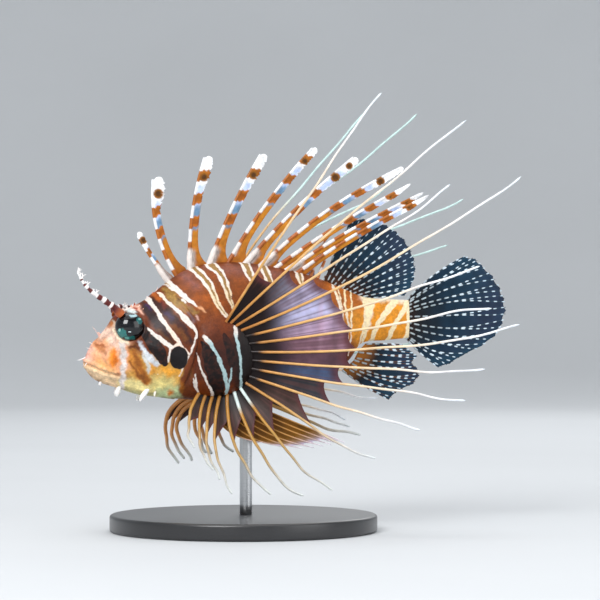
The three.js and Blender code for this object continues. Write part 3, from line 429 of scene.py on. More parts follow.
# White lines with crisp edges. The first ones, on the cheek, are the broad ones.
CHEEK_LINES = 11
LINE_SHARE = 0.72
WHITE_LINES = [
    [(-41.6, 85.0, 0.45), (-39.5, 82.7, 0.7), (-36.4, 80.4, 0.8), (-33.7, 78.2, 0.85),
     (-31.7, 77.1, 0.8)],
    [(-32.3, 77.1, 0.6), (-32.9, 75.1, 0.45), (-33.0, 73.0, 0.35), (-33.3, 71.1, 0.3)],
    [(-31.6, 77.3, 0.6), (-29.5, 78.2, 0.6)],
    [(-41.4, 98.5, 0.8), (-39.9, 95.9, 0.95), (-38.5, 93.6, 0.9), (-37.2, 91.3, 0.8),
     (-35.9, 88.9, 0.9), (-34.2, 86.3, 0.85), (-32.5, 83.7, 0.85), (-30.7, 81.5, 0.8),
     (-29.1, 79.4, 0.75), (-27.4, 76.7, 0.6), (-24.9, 74.5, 0.4)],
    [(-36.1, 99.6, 0.45), (-34.3, 97.4, 0.7), (-32.7, 95.1, 0.75), (-30.7, 93.3, 0.75),
     (-28.7, 91.3, 0.8), (-26.8, 89.2, 1.05), (-25.0, 87.2, 1.15), (-22.9, 85.0, 0.8),
     (-22.0, 83.0, 0.45), (-21.8, 81, 0.4)],
    [(-22.3, 81.0, 0.35), (-23.6, 76.7, 0.4), (-25.0, 73.5, 0.35), (-26.7, 70.0, 0.3),
     (-28.5, 65.4, 0.2)],
    [(-32.7, 105.2, 0.7), (-31.4, 103.7, 0.95), (-29.8, 101.6, 1.0), (-27.8, 99.6, 0.95),
     (-25.8, 97.6, 0.9), (-23.0, 95.3, 0.75), (-21.4, 94.1, 0.35)],
    [(-34.0, 103.4, 0.35), (-31.8, 101.7, 0.4), (-30.2, 100.6, 0.4), (-27.9, 99.1, 0.4)],
    [(-27.5, 96.8, 0.5), (-26.3, 95.8, 0.6)],
    [(-22.0, 66.2, 0.35), (-21.6, 62.7, 0.45), (-20.6, 59.9, 0.35)],
    [(-37.8, 100.6, 0.3), (-36.2, 102.6, 0.4), (-34.4, 104.0, 0.45)],
    [(-24.4, 112.6, 0.9), (-23.6, 110.4, 0.9), (-21.1, 107.7, 0.9), (-17.9, 103.9, 0.95),
     (-15.5, 99.7, 0.8), (-13.7, 95.5, 0.65), (-11.7, 91.8, 0.6), (-9, 89.2, 0.5)],
    [(-21.6, 113.6, 0.8), (-20.1, 110.4, 0.75), (-17.9, 108.2, 0.7), (-15.2, 104.5, 0.75),
     (-13.6, 100.2, 0.65), (-12.5, 96, 0.6), (-10.1, 91.8, 0.5), (-8.5, 89.2, 0.4)],
    [(-16.8, 113.6, 0.9), (-15.5, 110.3, 0.85), (-12.2, 107.7, 0.8), (-10.4, 103.9, 0.8),
     (-9.2, 99.7, 0.7), (-7.8, 96, 0.6), (-6.4, 92.6, 0.45), (-5, 88, 0.4)],
    [(-13.6, 114, 0.8), (-12.2, 111.4, 0.75), (-9.5, 108.2, 0.7), (-8.3, 104.5, 0.7),
     (-7.2, 100.2, 0.6), (-6.9, 97.1, 0.5), (-6, 93.4, 0.4), (-4.6, 88, 0.35)],
    [(-2, 114, 0.9), (-1.4, 111.8, 0.85), (-0.2, 108.2, 0.8), (1.5, 104.7, 0.7),
     (2.6, 100.5, 0.5), (4.4, 92, 0.45), (5.4, 82, 0.4), (5, 70, 0.4), (4, 60, 0.3)],
    [(2, 114, 0.7), (2.2, 112.1, 0.7), (2.6, 108.8, 0.65), (3.4, 105.9, 0.6), (5.4, 99, 0.45),
     (7.4, 90, 0.4), (8.2, 80, 0.4), (7.6, 70, 0.4), (6.4, 61, 0.3)],
    [(6.2, 113, 0.9), (6.5, 110.3, 0.85), (7.6, 107.7, 0.8), (8.6, 103.6, 0.7), (9.1, 102.1, 0.5),
     (11.6, 94, 0.45), (13, 84, 0.4), (13, 73, 0.4), (12, 63, 0.3)],
    [(9, 113, 0.7), (9.3, 110.3, 0.7), (10.5, 107.1, 0.7), (11.3, 103.6, 0.55), (14, 94, 0.45),
     (15.6, 84, 0.4), (15.4, 73, 0.4), (14, 63, 0.3)],
    [(21.4, 111, 1.0), (21.6, 110.1, 1.0), (22.2, 106.5, 0.9), (23.3, 103, 0.7), (25, 95, 0.5),
     (26.4, 85, 0.45), (26.2, 75, 0.4), (25, 66, 0.3)],
    [(24.2, 110, 0.6), (24.4, 104.8, 0.6), (26.6, 97, 0.45), (28.6, 86, 0.4), (28.4, 75, 0.4),
     (27, 66, 0.3)],
    [(37, 106, 0.7), (37.5, 103.9, 0.75), (38.3, 100.1, 0.75), (39.8, 95.3, 0.7), (40.6, 86, 0.5),
     (39.8, 76, 0.4), (38.6, 69, 0.3)],
    [(39.6, 105, 0.4), (39.9, 102, 0.45), (40.5, 96.5, 0.4), (41.4, 88, 0.3)],
    [(43.2, 103, 0.65), (42.9, 101.3, 0.65), (42.3, 95.3, 0.7), (42.9, 90, 0.6), (43.5, 86, 0.5),
     (43.2, 79, 0.4), (42, 71, 0.3)],
    [(45.4, 101.6, 0.5), (45.3, 95.3, 0.55), (44.8, 88.6, 0.5), (44.6, 80, 0.4), (44, 73, 0.3)],
    [(50.9, 98.4, 0.8), (51, 90.6, 0.8), (50, 83.6, 0.6), (48.8, 77.6, 0.5)],
    [(54, 97.4, 3.0), (52.9, 92.6, 2.3), (52.1, 88.3, 1.7), (51.2, 83, 1.0), (50.4, 78, 0.8)],
    [(64.6, 96.4, 2.3), (60.2, 91.4, 1.7), (57, 87.4, 1.5), (55.2, 83.4, 1.5), (54, 78.4, 1.2)],
    [(69.8, 95.2, 1.7), (66.9, 90.6, 1.5), (64.4, 87.2, 1.3), (62.6, 83.3, 1.5), (61.2, 79, 1.3)],
    [(70.8, 97, 2.0), (70.4, 90.6, 1.5), (70.2, 85, 1.6), (69.6, 79.6, 1.8)],
    [(-18.6, 81.4, 1.3), (-15.9, 78.3, 1.1), (-13.5, 74.6, 0.9), (-11.6, 70.4, 1.0),
     (-10.1, 67.2, 1.2), (-8.9, 63.2, 1.0), (-8.2, 57.8, 0.8), (-9.4, 54.6, 0.7)],
    [(-7.1, 69, 0.5), (-7.5, 64.8, 0.6), (-8.2, 59.9, 0.4)],
    [(-21.6, 74.6, 0.4), (-20, 68.6, 0.5), (-17, 63.3, 0.65), (-14.4, 58.9, 0.8),
     (-13.2, 54.6, 0.7)],
    [(-22.9, 64.6, 0.35), (-21.6, 61.1, 0.55), (-19.2, 57, 0.55)],
    [(-5.9, 85.2, 1.2), (-5.5, 80.7, 0.9), (-4.1, 75.4, 0.75), (-3.4, 70.1, 0.7),
     (-3, 64.8, 0.8), (-2.2, 59.9, 0.9), (-3.1, 57.2, 0.7), (-0.5, 54.8, 0.6)],
    [(-1.4, 58.9, 1.8), (-0.6, 58.2, 1.5)],
]
# Colour of the white lines: a soft wash over plain white, as in the tints
LINE_TINTS = [
    ("#a9c4c6", 2.5, [(-14, 76, 5), (-6, 74, 8), (-4, 60, 8)]),  # blue-green over the fan's root
    ("#f1ddb4", 3, [(44, 100, 6), (56, 88, 12), (72, 88, 12)]),  # cream on the tail
    ("#e4cfae", 3, [(-14, 96, 5), (4, 96, 8), (26, 96, 10)]),
    ("#f4d9c6", 1.5, [(-37, 101, 2.0), (-30, 78, 1.2), (-26, 76, 1.4)]),
]
# Dark marks with crisp edges
DARK_MARKS = [
    [(-44.6, 85.3, 1.9), (-41.8, 82.1, 2.5), (-39.2, 78.4, 2.8), (-37.0, 74.8, 2.6),
     (-35.3, 71.7, 1.9), (-34.6, 70.2, 1.1)],  # the band behind the eye
    [(-19.4, 79, 0.8), (-17.3, 74.8, 2.4), (-15.2, 69.4, 3.3), (-12.9, 63.4, 3.1),
     (-11.4, 58, 2.1), (-11.2, 55, 1.0)],  # the almond behind the gill cover
    [(-10.5, 82, 1.0), (-8.4, 77, 1.8), (-7.2, 71, 1.6)],
]
GILL_SPOT = [(-29.0, 73.9, 3.6), (-29.0, 71.7, 3.5)]
# Olive-tan fillings between the paired lines
TAN_FILLS = [
    [(-33, 103.4, 0.8), (-29.6, 99.8, 0.6)],
    [(-22.6, 111.4, 1.1), (-18.6, 106.2, 1.2), (-15, 101, 1.0), (-12.8, 95.4, 0.9),
     (-9.2, 89.6, 0.4)],
    [(-14, 111.4, 1.3), (-10.4, 106.4, 1.0), (-8.4, 100, 0.8), (-6.9, 94, 0.5)],
    [(0.2, 112, 1.5), (2, 105, 0.9), (4.6, 95, 1.1), (6.8, 84, 1.3), (6.2, 68, 1.2)],
    [(8, 111, 1.5), (9.8, 104, 1.0), (12.8, 94, 1.0), (14.3, 84, 1.2), (14, 70, 1.1)],
    [(22.8, 110, 1.3), (24, 102, 0.8), (27, 90, 1.0), (27.3, 76, 1.0)],
]


def skin_grid():
    """Rows of the skin from snout to tail: their x, their heights and the angle of each point."""
    turn = np.arange(SKIN_SIDES) * 2 * np.pi / SKIN_SIDES
    angle = turn - FLANK_CROWDING * np.sin(2 * turn)  # closer together on the flanks
    edge = gill_edge(angle)
    rows, lifts = [], []
    for share in np.linspace(0, 1, HEAD_ROWS):
        crowded = share ** SNOUT_CROWDING["power"]
        x = lerp(SNOUT_X, GILL_X, lerp(crowded, share, SNOUT_CROWDING["even_share"]))
        row = np.full(SKIN_SIDES, x)
        if x > HEAD_FLEX_X:
            row = lerp(HEAD_FLEX_X, edge, (x - HEAD_FLEX_X) / (GILL_X - HEAD_FLEX_X))
        rows.append(row)
        lifts.append(GILL_COVER_RISE * ease(row - edge, -GILL_SLOPE, 0))
    for behind, height in EDGE_STEPS[1:]:
        rows.append(edge + behind)
        lifts.append(np.full(SKIN_SIDES, height))
    last = EDGE_STEPS[-1]
    for share in np.linspace(0, 1, TORSO_ROWS + 1)[1:]:
        row = lerp(edge + last[0], TAIL_END_X, share)
        rows.append(row)
        lifts.append(last[1] * bump(row - edge - last[0], 0.8))
    return np.array(rows), np.array(lifts), angle


def fine_relief(x, z, angle, edge_gap):
    """Eye sockets, lips, folds and the fins' fleshy bases, as heights along the skin's normal."""
    flank = np.abs(np.cos(angle)) ** 0.5
    eye_gap = np.hypot(x - EYE["x"], z - EYE["z"])
    socket = -SOCKET["depth"] * (1 - ease(eye_gap, SOCKET["from"], SOCKET["to"]))
    rim = SOCKET["rim"] * bump(eye_gap - SOCKET["rim_at"], SOCKET["rim_width"])
    mouth = -depth_in([(px, pz, 0.0) for px, pz in MOUTH_LINE], x, z)
    above = z > np.interp(x, [p[0] for p in MOUTH_LINE], [p[1] for p in MOUTH_LINE])
    lips = np.where(above, LIPS["upper"], LIPS["lower"])
    lips = lips * bump(mouth - LIPS["away"], LIPS["width"])
    lips = lips - LIPS["groove"] * bump(mouth, LIPS["groove_width"])
    jaw_fold = -JAW_FOLD["depth"] * bump(depth_in(JAW_FOLD["line"], x, z), JAW_FOLD["width"])
    turn = (angle + np.pi) % (2 * np.pi) - np.pi
    mirrored_turn = np.where(np.cos(turn) >= 0, turn, np.sign(turn) * np.pi - turn)
    lobe_gap = np.hypot((x - LOBE["x"]) / LOBE["reach"],
                        (np.degrees(mirrored_turn) - LOBE["angle"]) / LOBE["turn"])
    lobe = LOBE["rise"] * (1 - ease(lobe_gap, 0.55, 1.08)) * ease(edge_gap, 0.6, 3.0)
    return (socket + rim) * flank + lips + jaw_fold * flank + lobe


def strayed(x, z, reach):
    """Places in side view led astray by a few waves, so that painted edges run unevenly."""
    across = np.sin(1.3 * z + 0.7 * x) + 0.4 * np.sin(3.1 * z - 1.9 * x + 1)
    up = np.sin(1.5 * x - 0.6 * z + 2) + 0.4 * np.sin(3.4 * x + 1.7 * z)
    return x + reach * across, z + reach * up


def depth_of_marks(marks, x, z, broad=None):
    """Depth in the deepest mark. Marks after the broad ones are drawn thinner."""
    deepest = np.full(np.shape(x), FAR_OUTSIDE)
    for i, mark in enumerate(marks):
        thin = 1.0 if broad is None or i < broad else LINE_SHARE
        stroke = [(px, pz, half * thin) for px, pz, half in mark]
        deepest = np.maximum(deepest, depth_in(stroke, x, z))
    return deepest


def washed(ground, washes, x, z):
    """Soft washes of colour in painting order over a ground colour."""
    tint = np.broadcast_to(np.array(linear(ground)), x.shape + (3,)).copy()
    for colour, softness, stroke in washes:
        tint = laid(tint, colour, ease(depth_in(stroke, x, z), -softness, softness))
    return tint


def body_skin(material):
    """The skin of head, torso and tail root in one piece, with its painted tints and marks."""
    x, lift, angle = skin_grid()
    base = skin_point(x, angle[None, :])
    normal = skin_normal(x, angle[None, :])
    edge_gap = x - gill_edge(angle)[None, :]
    z = base[..., 2]
    swell = lift * np.abs(np.cos(angle))[None, :] ** 0.3
    skin = base + normal * (swell + fine_relief(x, z, angle[None, :], edge_gap))[..., None]
    uneven = strayed(x, z, MARK_STRAY)
    marks = {
        "pale_depth": depth_of_marks(WHITE_LINES, *uneven, CHEEK_LINES),
        "dark_depth": depth_of_marks(DARK_MARKS, *uneven),
        "spot_depth": depth_of_marks([GILL_SPOT], x, z),
        "tan_depth": depth_of_marks(TAN_FILLS, *uneven),
        "skin_tint": washed(SKIN_GROUND, SKIN_TINTS, *strayed(x, z, TINT_STRAY)),
        "line_tint": washed(LINE_GROUND, LINE_TINTS, x, z),
    }
    points = with_poles(skin)
    points[-2, 0] = skin[0, :, 0].min() - 0.2  # the snout's tip, just ahead of its first ring
    faces = [face[::-1] for face in ring_faces(len(x), SKIN_SIDES)]
    marks = {key: with_poles(values) for key, values in marks.items()}
    return face_outwards(mesh_object("body_skin", points, faces, material, marks))


def painted_skin():
    """Painted cast resin, varnished: small scales, mottled colour and a wet gloss.

    The scales of a fish of this length are about 0.8 mm across. Its colour is mottled in
    clouds of 0.9 to 3.8 mm, as the photo shows it.
    """
    material, tree, shader = new_material("varnished_painted_fish_skin")
    place_of = add(tree, "ShaderNodeTexCoord").outputs["Object"]
    ragged = add(tree, "ShaderNodeTexNoise", {"Vector": place_of,
                                              "Scale": 1 / (1.9 * MM), "Detail": 4.0})
    wobble = add(tree, "ShaderNodeMapRange", {"Value": ragged.outputs["Fac"], "From Min": 0.3,
                                             "From Max": 0.7, "To Min": -0.2, "To Max": 0.2})
    mottle = add(tree, "ShaderNodeTexNoise", {"Vector": place_of,
                                              "Scale": 1 / (3.8 * MM), "Detail": 6.0,
                                              "Roughness": 0.62})
    tint = add(tree, "ShaderNodeAttribute", attribute_name="skin_tint").outputs["Color"]
    shade = add(tree, "ShaderNodeMapRange", {"Value": mottle.outputs["Fac"], "From Min": 0.3,
                                            "From Max": 0.72, "To Min": 0.6, "To Max": 1.32})
    colour = add(tree, "ShaderNodeVectorMath", {0: tint, 1: shade.outputs["Result"]},
                 operation="MULTIPLY").outputs["Vector"]
    pale = add(tree, "ShaderNodeAttribute", attribute_name="line_tint").outputs["Color"]
    blotch = add(tree, "ShaderNodeMapRange", {"Value": ragged.outputs["Fac"], "From Min": 0.45,
                                             "From Max": 0.62})
    dark = add(tree, "ShaderNodeMix", {0: blotch.outputs["Result"], 6: rgba("#100404"),
                                       7: rgba("#34140a")}, data_type="RGBA").outputs[2]
    layers = [("tan_depth", rgba("#94703a")), ("dark_depth", dark), ("pale_depth", pale),
              ("spot_depth", rgba("#0c0406"))]
    for mark, finish in layers:
        depth = add(tree, "ShaderNodeAttribute", attribute_name=mark).outputs["Fac"]
        edge = add(tree, "ShaderNodeMath", {0: depth, 1: wobble.outputs["Result"]})
        mask = add(tree, "ShaderNodeMapRange", {"Value": edge.outputs[0], "From Min": -0.16,
                                               "From Max": 0.16})
        colour = add(tree, "ShaderNodeMix", {0: mask.outputs["Result"], 6: colour, 7: finish},
                     data_type="RGBA").outputs[2]
    colour = mottled(tree, colour, 0.9, 0.82, 1.12)
    scales = add(tree, "ShaderNodeTexVoronoi", {"Vector": place_of,
                                                 "Scale": 1 / (0.8 * MM)})
    low = add(tree, "ShaderNodeBump", {"Height": scales.outputs["Distance"], "Strength": 0.25,
                                       "Distance": 0.0003})
    fold = add(tree, "ShaderNodeBump", {"Height": mottle.outputs["Fac"], "Strength": 0.3,
                                        "Distance": 0.0006, "Normal": low.outputs["Normal"]})
    tree.links.new(colour, shader.inputs["Base Color"])
    tree.links.new(fold.outputs["Normal"], shader.inputs["Normal"])
    finish_of(shader, Roughness=0.5, Specular_IOR_Level=0.25, Coat_Weight=0.1, Coat_Roughness=0.2)
    return material


# Rods along lines, for the rays, spines, tassels and whiskers
def rod_tree():
    """Nodes that turn lines of points into round rods, with the radius that each point carries."""
    tree = bpy.data.node_groups.new("rods_along_lines", "GeometryNodeTree")
    for label, kind in (("Lines", "Geometry"), ("Sides", "Int"), ("Finish", "Material")):
        tree.interface.new_socket(label, in_out="INPUT", socket_type="NodeSocket" + kind)
    tree.interface.new_socket("Rods", in_out="OUTPUT", socket_type="NodeSocketGeometry")
    given = add(tree, "NodeGroupInput").outputs
    curve = add(tree, "GeometryNodeMeshToCurve", {"Mesh": given["Lines"]})
    width = add(tree, "GeometryNodeInputNamedAttribute", {"Name": "rod_radius"}, data_type="FLOAT")
    ring = add(tree, "GeometryNodeCurvePrimitiveCircle", {"Resolution": given["Sides"],
                                                          "Radius": 1.0})
    rod = add(tree, "GeometryNodeCurveToMesh", {"Curve": curve.outputs["Curve"],
                                                "Profile Curve": ring.outputs["Curve"],
                                                "Scale": width.outputs["Attribute"],
                                                "Fill Caps": True})
    smooth = add(tree, "GeometryNodeSetShadeSmooth", {"Geometry": rod.outputs["Mesh"]})
    real = add(tree, "GeometryNodeRealizeInstances", {"Geometry": smooth.outputs["Geometry"]})
    finish = add(tree, "GeometryNodeSetMaterial", {"Geometry": real.outputs["Geometry"],
                                                   "Material": given["Finish"]})
    add(tree, "NodeGroupOutput", {"Rods": finish.outputs["Geometry"]})
    return tree


ROD_TREE = rod_tree()


def rods(name, lines, radii, sides, material, tints):
    """Round rods along lines of points, each point with its radius and its painted colour."""
    starts = np.cumsum([0] + [len(line) for line in lines])
    edges = [(i, i + 1) for a, b in zip(starts, starts[1:]) for i in range(a, b - 1)]
    mesh = bpy.data.meshes.new(name)
    mesh.from_pydata((np.vstack(lines) * MM).tolist(), edges, [])
    carry(mesh, {"rod_radius": np.concatenate(radii) * MM, "tint": np.vstack(tints)})
    holder = on_stage(name + "_lines", mesh)
    modifier = holder.modifiers.new("rods", "NODES")
    modifier.node_group = ROD_TREE
    sockets = {socket.name: socket.identifier for socket in ROD_TREE.interface.items_tree}
    modifier[sockets["Sides"]] = sides
    modifier[sockets["Finish"]] = material
    ready = holder.evaluated_get(bpy.context.evaluated_depsgraph_get())
    made = bpy.data.meshes.new_from_object(ready)
    bpy.data.objects.remove(holder)
    return face_outwards(on_stage(name, made))


# Thin sheets of skin
def closed_patch(points, offset, start):
    """Points and faces of a thin closed sheet, offset to both sides of a grid of points."""
    rows, columns = points.shape[:2]
    both = np.vstack([(points + offset).reshape(-1, 3), (points - offset).reshape(-1, 3)])
    size = rows * columns
    top = grid_faces(rows, columns, False, start)
    corner = start + np.arange(size).reshape(rows, columns)
    border = [*corner[0], *corner[1:, -1], *corner[-1, -2::-1], *corner[-2:0:-1, 0]]
    rim = [(b, a, a + size, b + size) for a, b in zip(border, border[1:] + border[:1])]
    return both, [tuple(f) for f in top] + [tuple(f[::-1]) for f in top + size] + rim


def sheet_normals(points):
    normal = np.cross(np.gradient(points, axis=0), np.gradient(points, axis=1))
    return normal / np.maximum(np.linalg.norm(normal, axis=-1, keepdims=True), 1e-9)


def sheets(name, patches, material):
    """One mesh of thin sheets. A patch is (points, offset to each side, tints, cover)."""
    points, faces, tints, cover = [], [], [], []
    start = 0
    for grid, offset, tint, opaque in patches:
        both, more = closed_patch(grid, offset, start)
        points.append(both)
        faces += more
        start += len(both)
        tints += [tint.reshape(-1, 3)] * 2
        cover += [np.broadcast_to(opaque, grid.shape[:2]).ravel()] * 2
    marks = {"cover": np.concatenate(cover), "tint": np.vstack(tints)}
    return face_outwards(mesh_object(name, np.vstack(points), faces, material, marks))


def fin_sheet(name, rays, reach, material, paint, rows=30, between=6, thick=0.16, notch=0.02):
    """A thin sheet over a fan of rays, up to the share reach of their length.

    paint turns the share along the rays, the share across the fan and the arc, which is 0 on a
    ray and 1 midway between two, into a tint and a cover.
    """
    across = np.arange((len(rays) - 1) * between + 1) / between
    first = np.minimum(across.astype(int), len(rays) - 2)
    part = across - first
    arc = 4 * part * (1 - part)
    share = np.linspace(0, 1, rows + 1)[:, None]
    out = share * (1 - notch * arc[None, :] * share**3) * reach
    columns = [lerp(rays[i](out[:, j]), rays[i + 1](out[:, j]), f)
               for j, (i, f) in enumerate(zip(first, part))]
    points = np.stack(columns, 1)
    tint, cover = paint(np.broadcast_to(share, out.shape), across / (len(rays) - 1), arc)
    return sheets(name, [(points, sheet_normals(points) * thick / 2, tint, cover)], material)


def bent_line(root, angle_degrees, length, bend, spread=None, flick=0.0, early=0.0, wander=0.0):
    """A bent line from root, angle degrees above straight back, which strays by spread(t).

    early moves the bend towards the root, flick lifts the last 28% and wander makes two waves
    that grow towards the tip.
    """
    angle = math.radians(angle_degrees)
    along = np.array([math.cos(angle), 0, math.sin(angle)])
    upward = np.array([-math.sin(angle), 0, math.cos(angle)])

    def line(t):
        t = np.asarray(t, float)
        stray = spread(t) if spread else 0 * t
        rise = 4 * t * (1 - t) * bend * length * (1 + early * (1 - 2 * t))
        rise += flick * np.maximum(0, (t - 0.72) / 0.28) ** 2
        wave = 0.8 * np.sin(11 * t + 5 * wander) + 0.35 * np.sin(25 * t + 3 * wander)
        rise += wave * t**2 * (wander > 0)
        place = root + along * (length * t)[..., None] + upward * rise[..., None]
        place[..., 1] += stray
        return place

    return line


def line_between(root, tip, bend, spread=None):
    """A bent line from a root to a tip, both as [x, y, z], which strays sideways by spread(t)."""
    run, rise = tip[0] - root[0], tip[2] - root[2]
    return bent_line(np.array(root, float), math.degrees(math.atan2(rise, run)),
                     math.hypot(run, rise), bend, spread)


# Pectoral fins, each ray as [angle, length, bend, flick of the tip, then the shares to
# which the web above it and the web below it reach]
PECTORAL = {"first": 82, "last": -128, "crowding": 1.12, "root_share": 0.86, "lift": 0.7,
            "flare": 0.35}
LEFT_RAYS = [
    (58.2, 108.9, 0.014, 0, 0, 0.21), (42.3, 121.4, 0.019, 0, 0.19, 0.258),
    (34.5, 100.5, -0.004, 0, 0.29, 0.352), (30.4, 124.5, -0.034, 0, 0.305, 0.305),
    (17.5, 95.6, -0.016, 0.6, 0.41, 0.408), (9.5, 95.8, -0.012, -0.8, 0.43, 0.41),
    (5.4, 105.2, -0.029, 0.5, 0.39, 0.36), (-2.8, 91.2, -0.01, 1.0, 0.43, 0.375),
    (-8.2, 84.8, -0.011, -0.6, 0.43, 0.34), (-18.7, 70.5, -0.003, 2.0, 0.48, 0.28),
    (-35.3, 59.2, 0.009, 4.0, 0.53, 0.21), (-52.4, 54.6, -0.031, 2.2, 0.42, 0.2),
    (-60.9, 49.8, -0.076, 1.6, 0.42, 0.2), (-69.5, 43.7, -0.123, 1.6, 0.44, 0.22),
    (-86.1, 40.0, -0.109, 1.0, 0.46, 0.24), (-88.9, 34.1, -0.106, 0.8, 0.48, 0.26),
    (-88.8, 30.4, -0.122, 0.4, 0.5, 0.3), (-99.4, 22.5, -0.137, 0.6, 0.55, 0),
]
RIGHT_RAYS = [
    (52.0, 117.0, 0.041, 0, 0, 0.24), (44.1, 131.6, 0.062, 0, 0.24, 0.26),
    (37.8, 103.0, 0.085, 0, 0.3, 0.34), (27.5, 125.8, 0.048, 0, 0.36, 0.4),
    (21.4, 109.3, 0.044, 0, 0.42, 0.42), (8, 94, -0.03, 0.6, 0.44, 0.42),
    (2, 92, -0.04, 0.8, 0.44, 0.4), (-5, 82, -0.02, 0.5, 0.46, 0.4),
    (-13, 66, -0.02, 0.6, 0.48, 0.4),
    (-20.6, 53.7, -0.052, -0.4, 0.52, 0.4), (-21.9, 57.2, -0.021, 0.3, 0.54, 0.36),
    (-21.9, 65.0, -0.016, 1.6, 0.54, 0.3), (-85.0, 26.6, -0.208, 1.0, 0.5, 0.26),
    (-95.8, 26.2, -0.271, 1.0, 0.5, 0.26), (-95.3, 25.1, -0.266, 0.9, 0.5, 0.26),
    (-100.4, 28.8, -0.325, 0.9, 0.5, 0.26), (-102.8, 28.2, -0.275, 0.9, 0.5, 0.26),
    (-98.7, 31.3, -0.269, 0.9, 0.5, 0),
]
SIDES = {"left": -1, "right": 1}
FAN_RAYS = {-1: LEFT_RAYS, 1: RIGHT_RAYS}
# How far the first and the last ray of each fan stand out, as a share of their length
SPREADS = {-1: (0.36, 0.34), 1: (0.29, 0.72)}
EARLY_BEND = {-1: 0.0, 1: 0.9}
# Radii of the rays at root and tip for the upper and the lower rays of each fan
RAY_RADII = {-1: ((0.6, 0.42), (0.78, 0.45)), 1: ((0.58, 0.46), (1.05, 0.6))}
RAY_POINTS, RAY_SIDES = 90, 8
WEB_HALF_THICK = 0.09


def pectoral_rays(side):
    """The lines of one fan's rays and the shares of each pair that are webbed."""
    table = FAN_RAYS[side]
    first, last = SPREADS[side]
    root_share = PECTORAL["root_share"]
    lines = []
    for i, (angle, length, bend, flick, _, _) in enumerate(table):
        down = i / (len(table) - 1)
        turn = math.radians(lerp(PECTORAL["first"], PECTORAL["last"], down ** PECTORAL["crowding"]))
        x = LOBE["x"] + LOBE["reach"] * root_share * math.cos(turn)
        around = math.radians(LOBE["angle"] + LOBE["turn"] * root_share * math.sin(turn))
        root = on_side(skin_point(x, around, PECTORAL["lift"], False), side)
        out = side * length * lerp(first, last, down)
        spread = (lambda t, out=out: out * t * (1 + PECTORAL["flare"] * (1 - t)))
        early = EARLY_BEND[side] * lerp(1, 0.35, ease(i, 4, 8))  # less so for the lower rays
        lines.append(bent_line(root, angle, length, bend, spread, flick, early, i + 1))
    return lines, [(above[5], below[4]) for above, below in zip(table, table[1:])]


# Colours of the upper and the lower rays from root to tip
UPPER_RAY = [(0, "#a8682c"), (0.1, "#d0944c"), (0.28, "#e2b06c"), (0.45, "#ebc99a"),
             (0.62, "#f2e0c8"), (0.8, "#f2f0f0"), (1, "#e6eef6")]
LOWER_RAY = [(0, "#9a6424"), (0.12, "#b47c2a"), (0.4, "#bc8c3e"), (0.62, "#b89a6c"),
             (0.8, "#c6c0b4"), (1, "#e2e8e6")]


def fan_ray_tint(side, i, t, from_root):
    tint = lerp(graded(UPPER_RAY, t), graded(LOWER_RAY, t), float(ease(i, 8.5, 11)))
    if side > 0:
        tint = laid(tint, "#c4e0dc", ease(t, 0.4, 0.6) * (i < 7))
        return laid(tint, "#dc9456", 0.8 * (1 - ease(t, 0.6, 0.95)) * (i > 11))
    if i in (11, 12):
        tint = laid(tint, "#d6e6e2", 1 - ease(from_root, 5, 10))
    if 3 < i < 10:
        tint = laid(tint, "#1a0a06", 1 - ease(from_root, 2.5, 5.5))
    return tint


# Light on the fans' skin: [x, share of each web's pale colour], and those colours from the top
FAN_LIGHT = [(6, 0), (11, 0.2), (17, 0.6), (25, 0.92), (28.5, 0.78), (31.8, 1.0), (35, 0.64),
             (38.5, 0.82), (42, 0.35), (48, 0.2)]
WEB_PALES = ["#948688", "#9a9ab0", "#bcb4d4", "#c8c6ea", "#b89eba", "#8a6676", "#5a404c",
             "#44587a", "#26404a", "#5a463c", "#54423a", "#4c3a30"]


def web_tint(pair, x, share, edge, arc):
    """Skin between two pectoral rays: near black at the root, paler in stripes across the fan."""
    low = float(ease(pair, 6.5, 8.5))
    light = np.interp(x, *zip(*FAN_LIGHT))
    light = lerp(light, 0.3 + 0.7 * ease(share, 0.25, 0.6), low) * ease(share, 0.06, 0.2)
    tint = graded([(0, "#0c0404"), (0.15, "#1c0d0d"), (0.35, "#301c1e")], share)
    tint = laid(tint, WEB_PALES[min(pair, len(WEB_PALES) - 1)], light)
    pink = np.exp(-(((x - 29.5) / 1.1) ** 2)) + np.exp(-(((x - 38.5) / 1.6) ** 2))
    tint = laid(tint, "#c49ab0", 0.4 * pink * light * (pair in (3, 4, 5)))
    streak = (1 - ease(arc, 0.05, 0.6)) * (1 - ease(share, 0.14, 0.34))
    tint = laid(tint, "#0e0505", 0.85 * streak)
    thread = np.sin(9.5 * arc + pair) ** 4
    near = ease(share, 0.12, 0.2) * (1 - ease(share, 0.3, 0.55))
    tint = laid(tint, "#5c3a2c", 0.5 * thread * near)
    tint = laid(tint, "#4c3c58", 0.3 * thread * light)
    return laid(tint, "#5a2c2e", 0.8 * ease(edge, 0.86, 1.0))


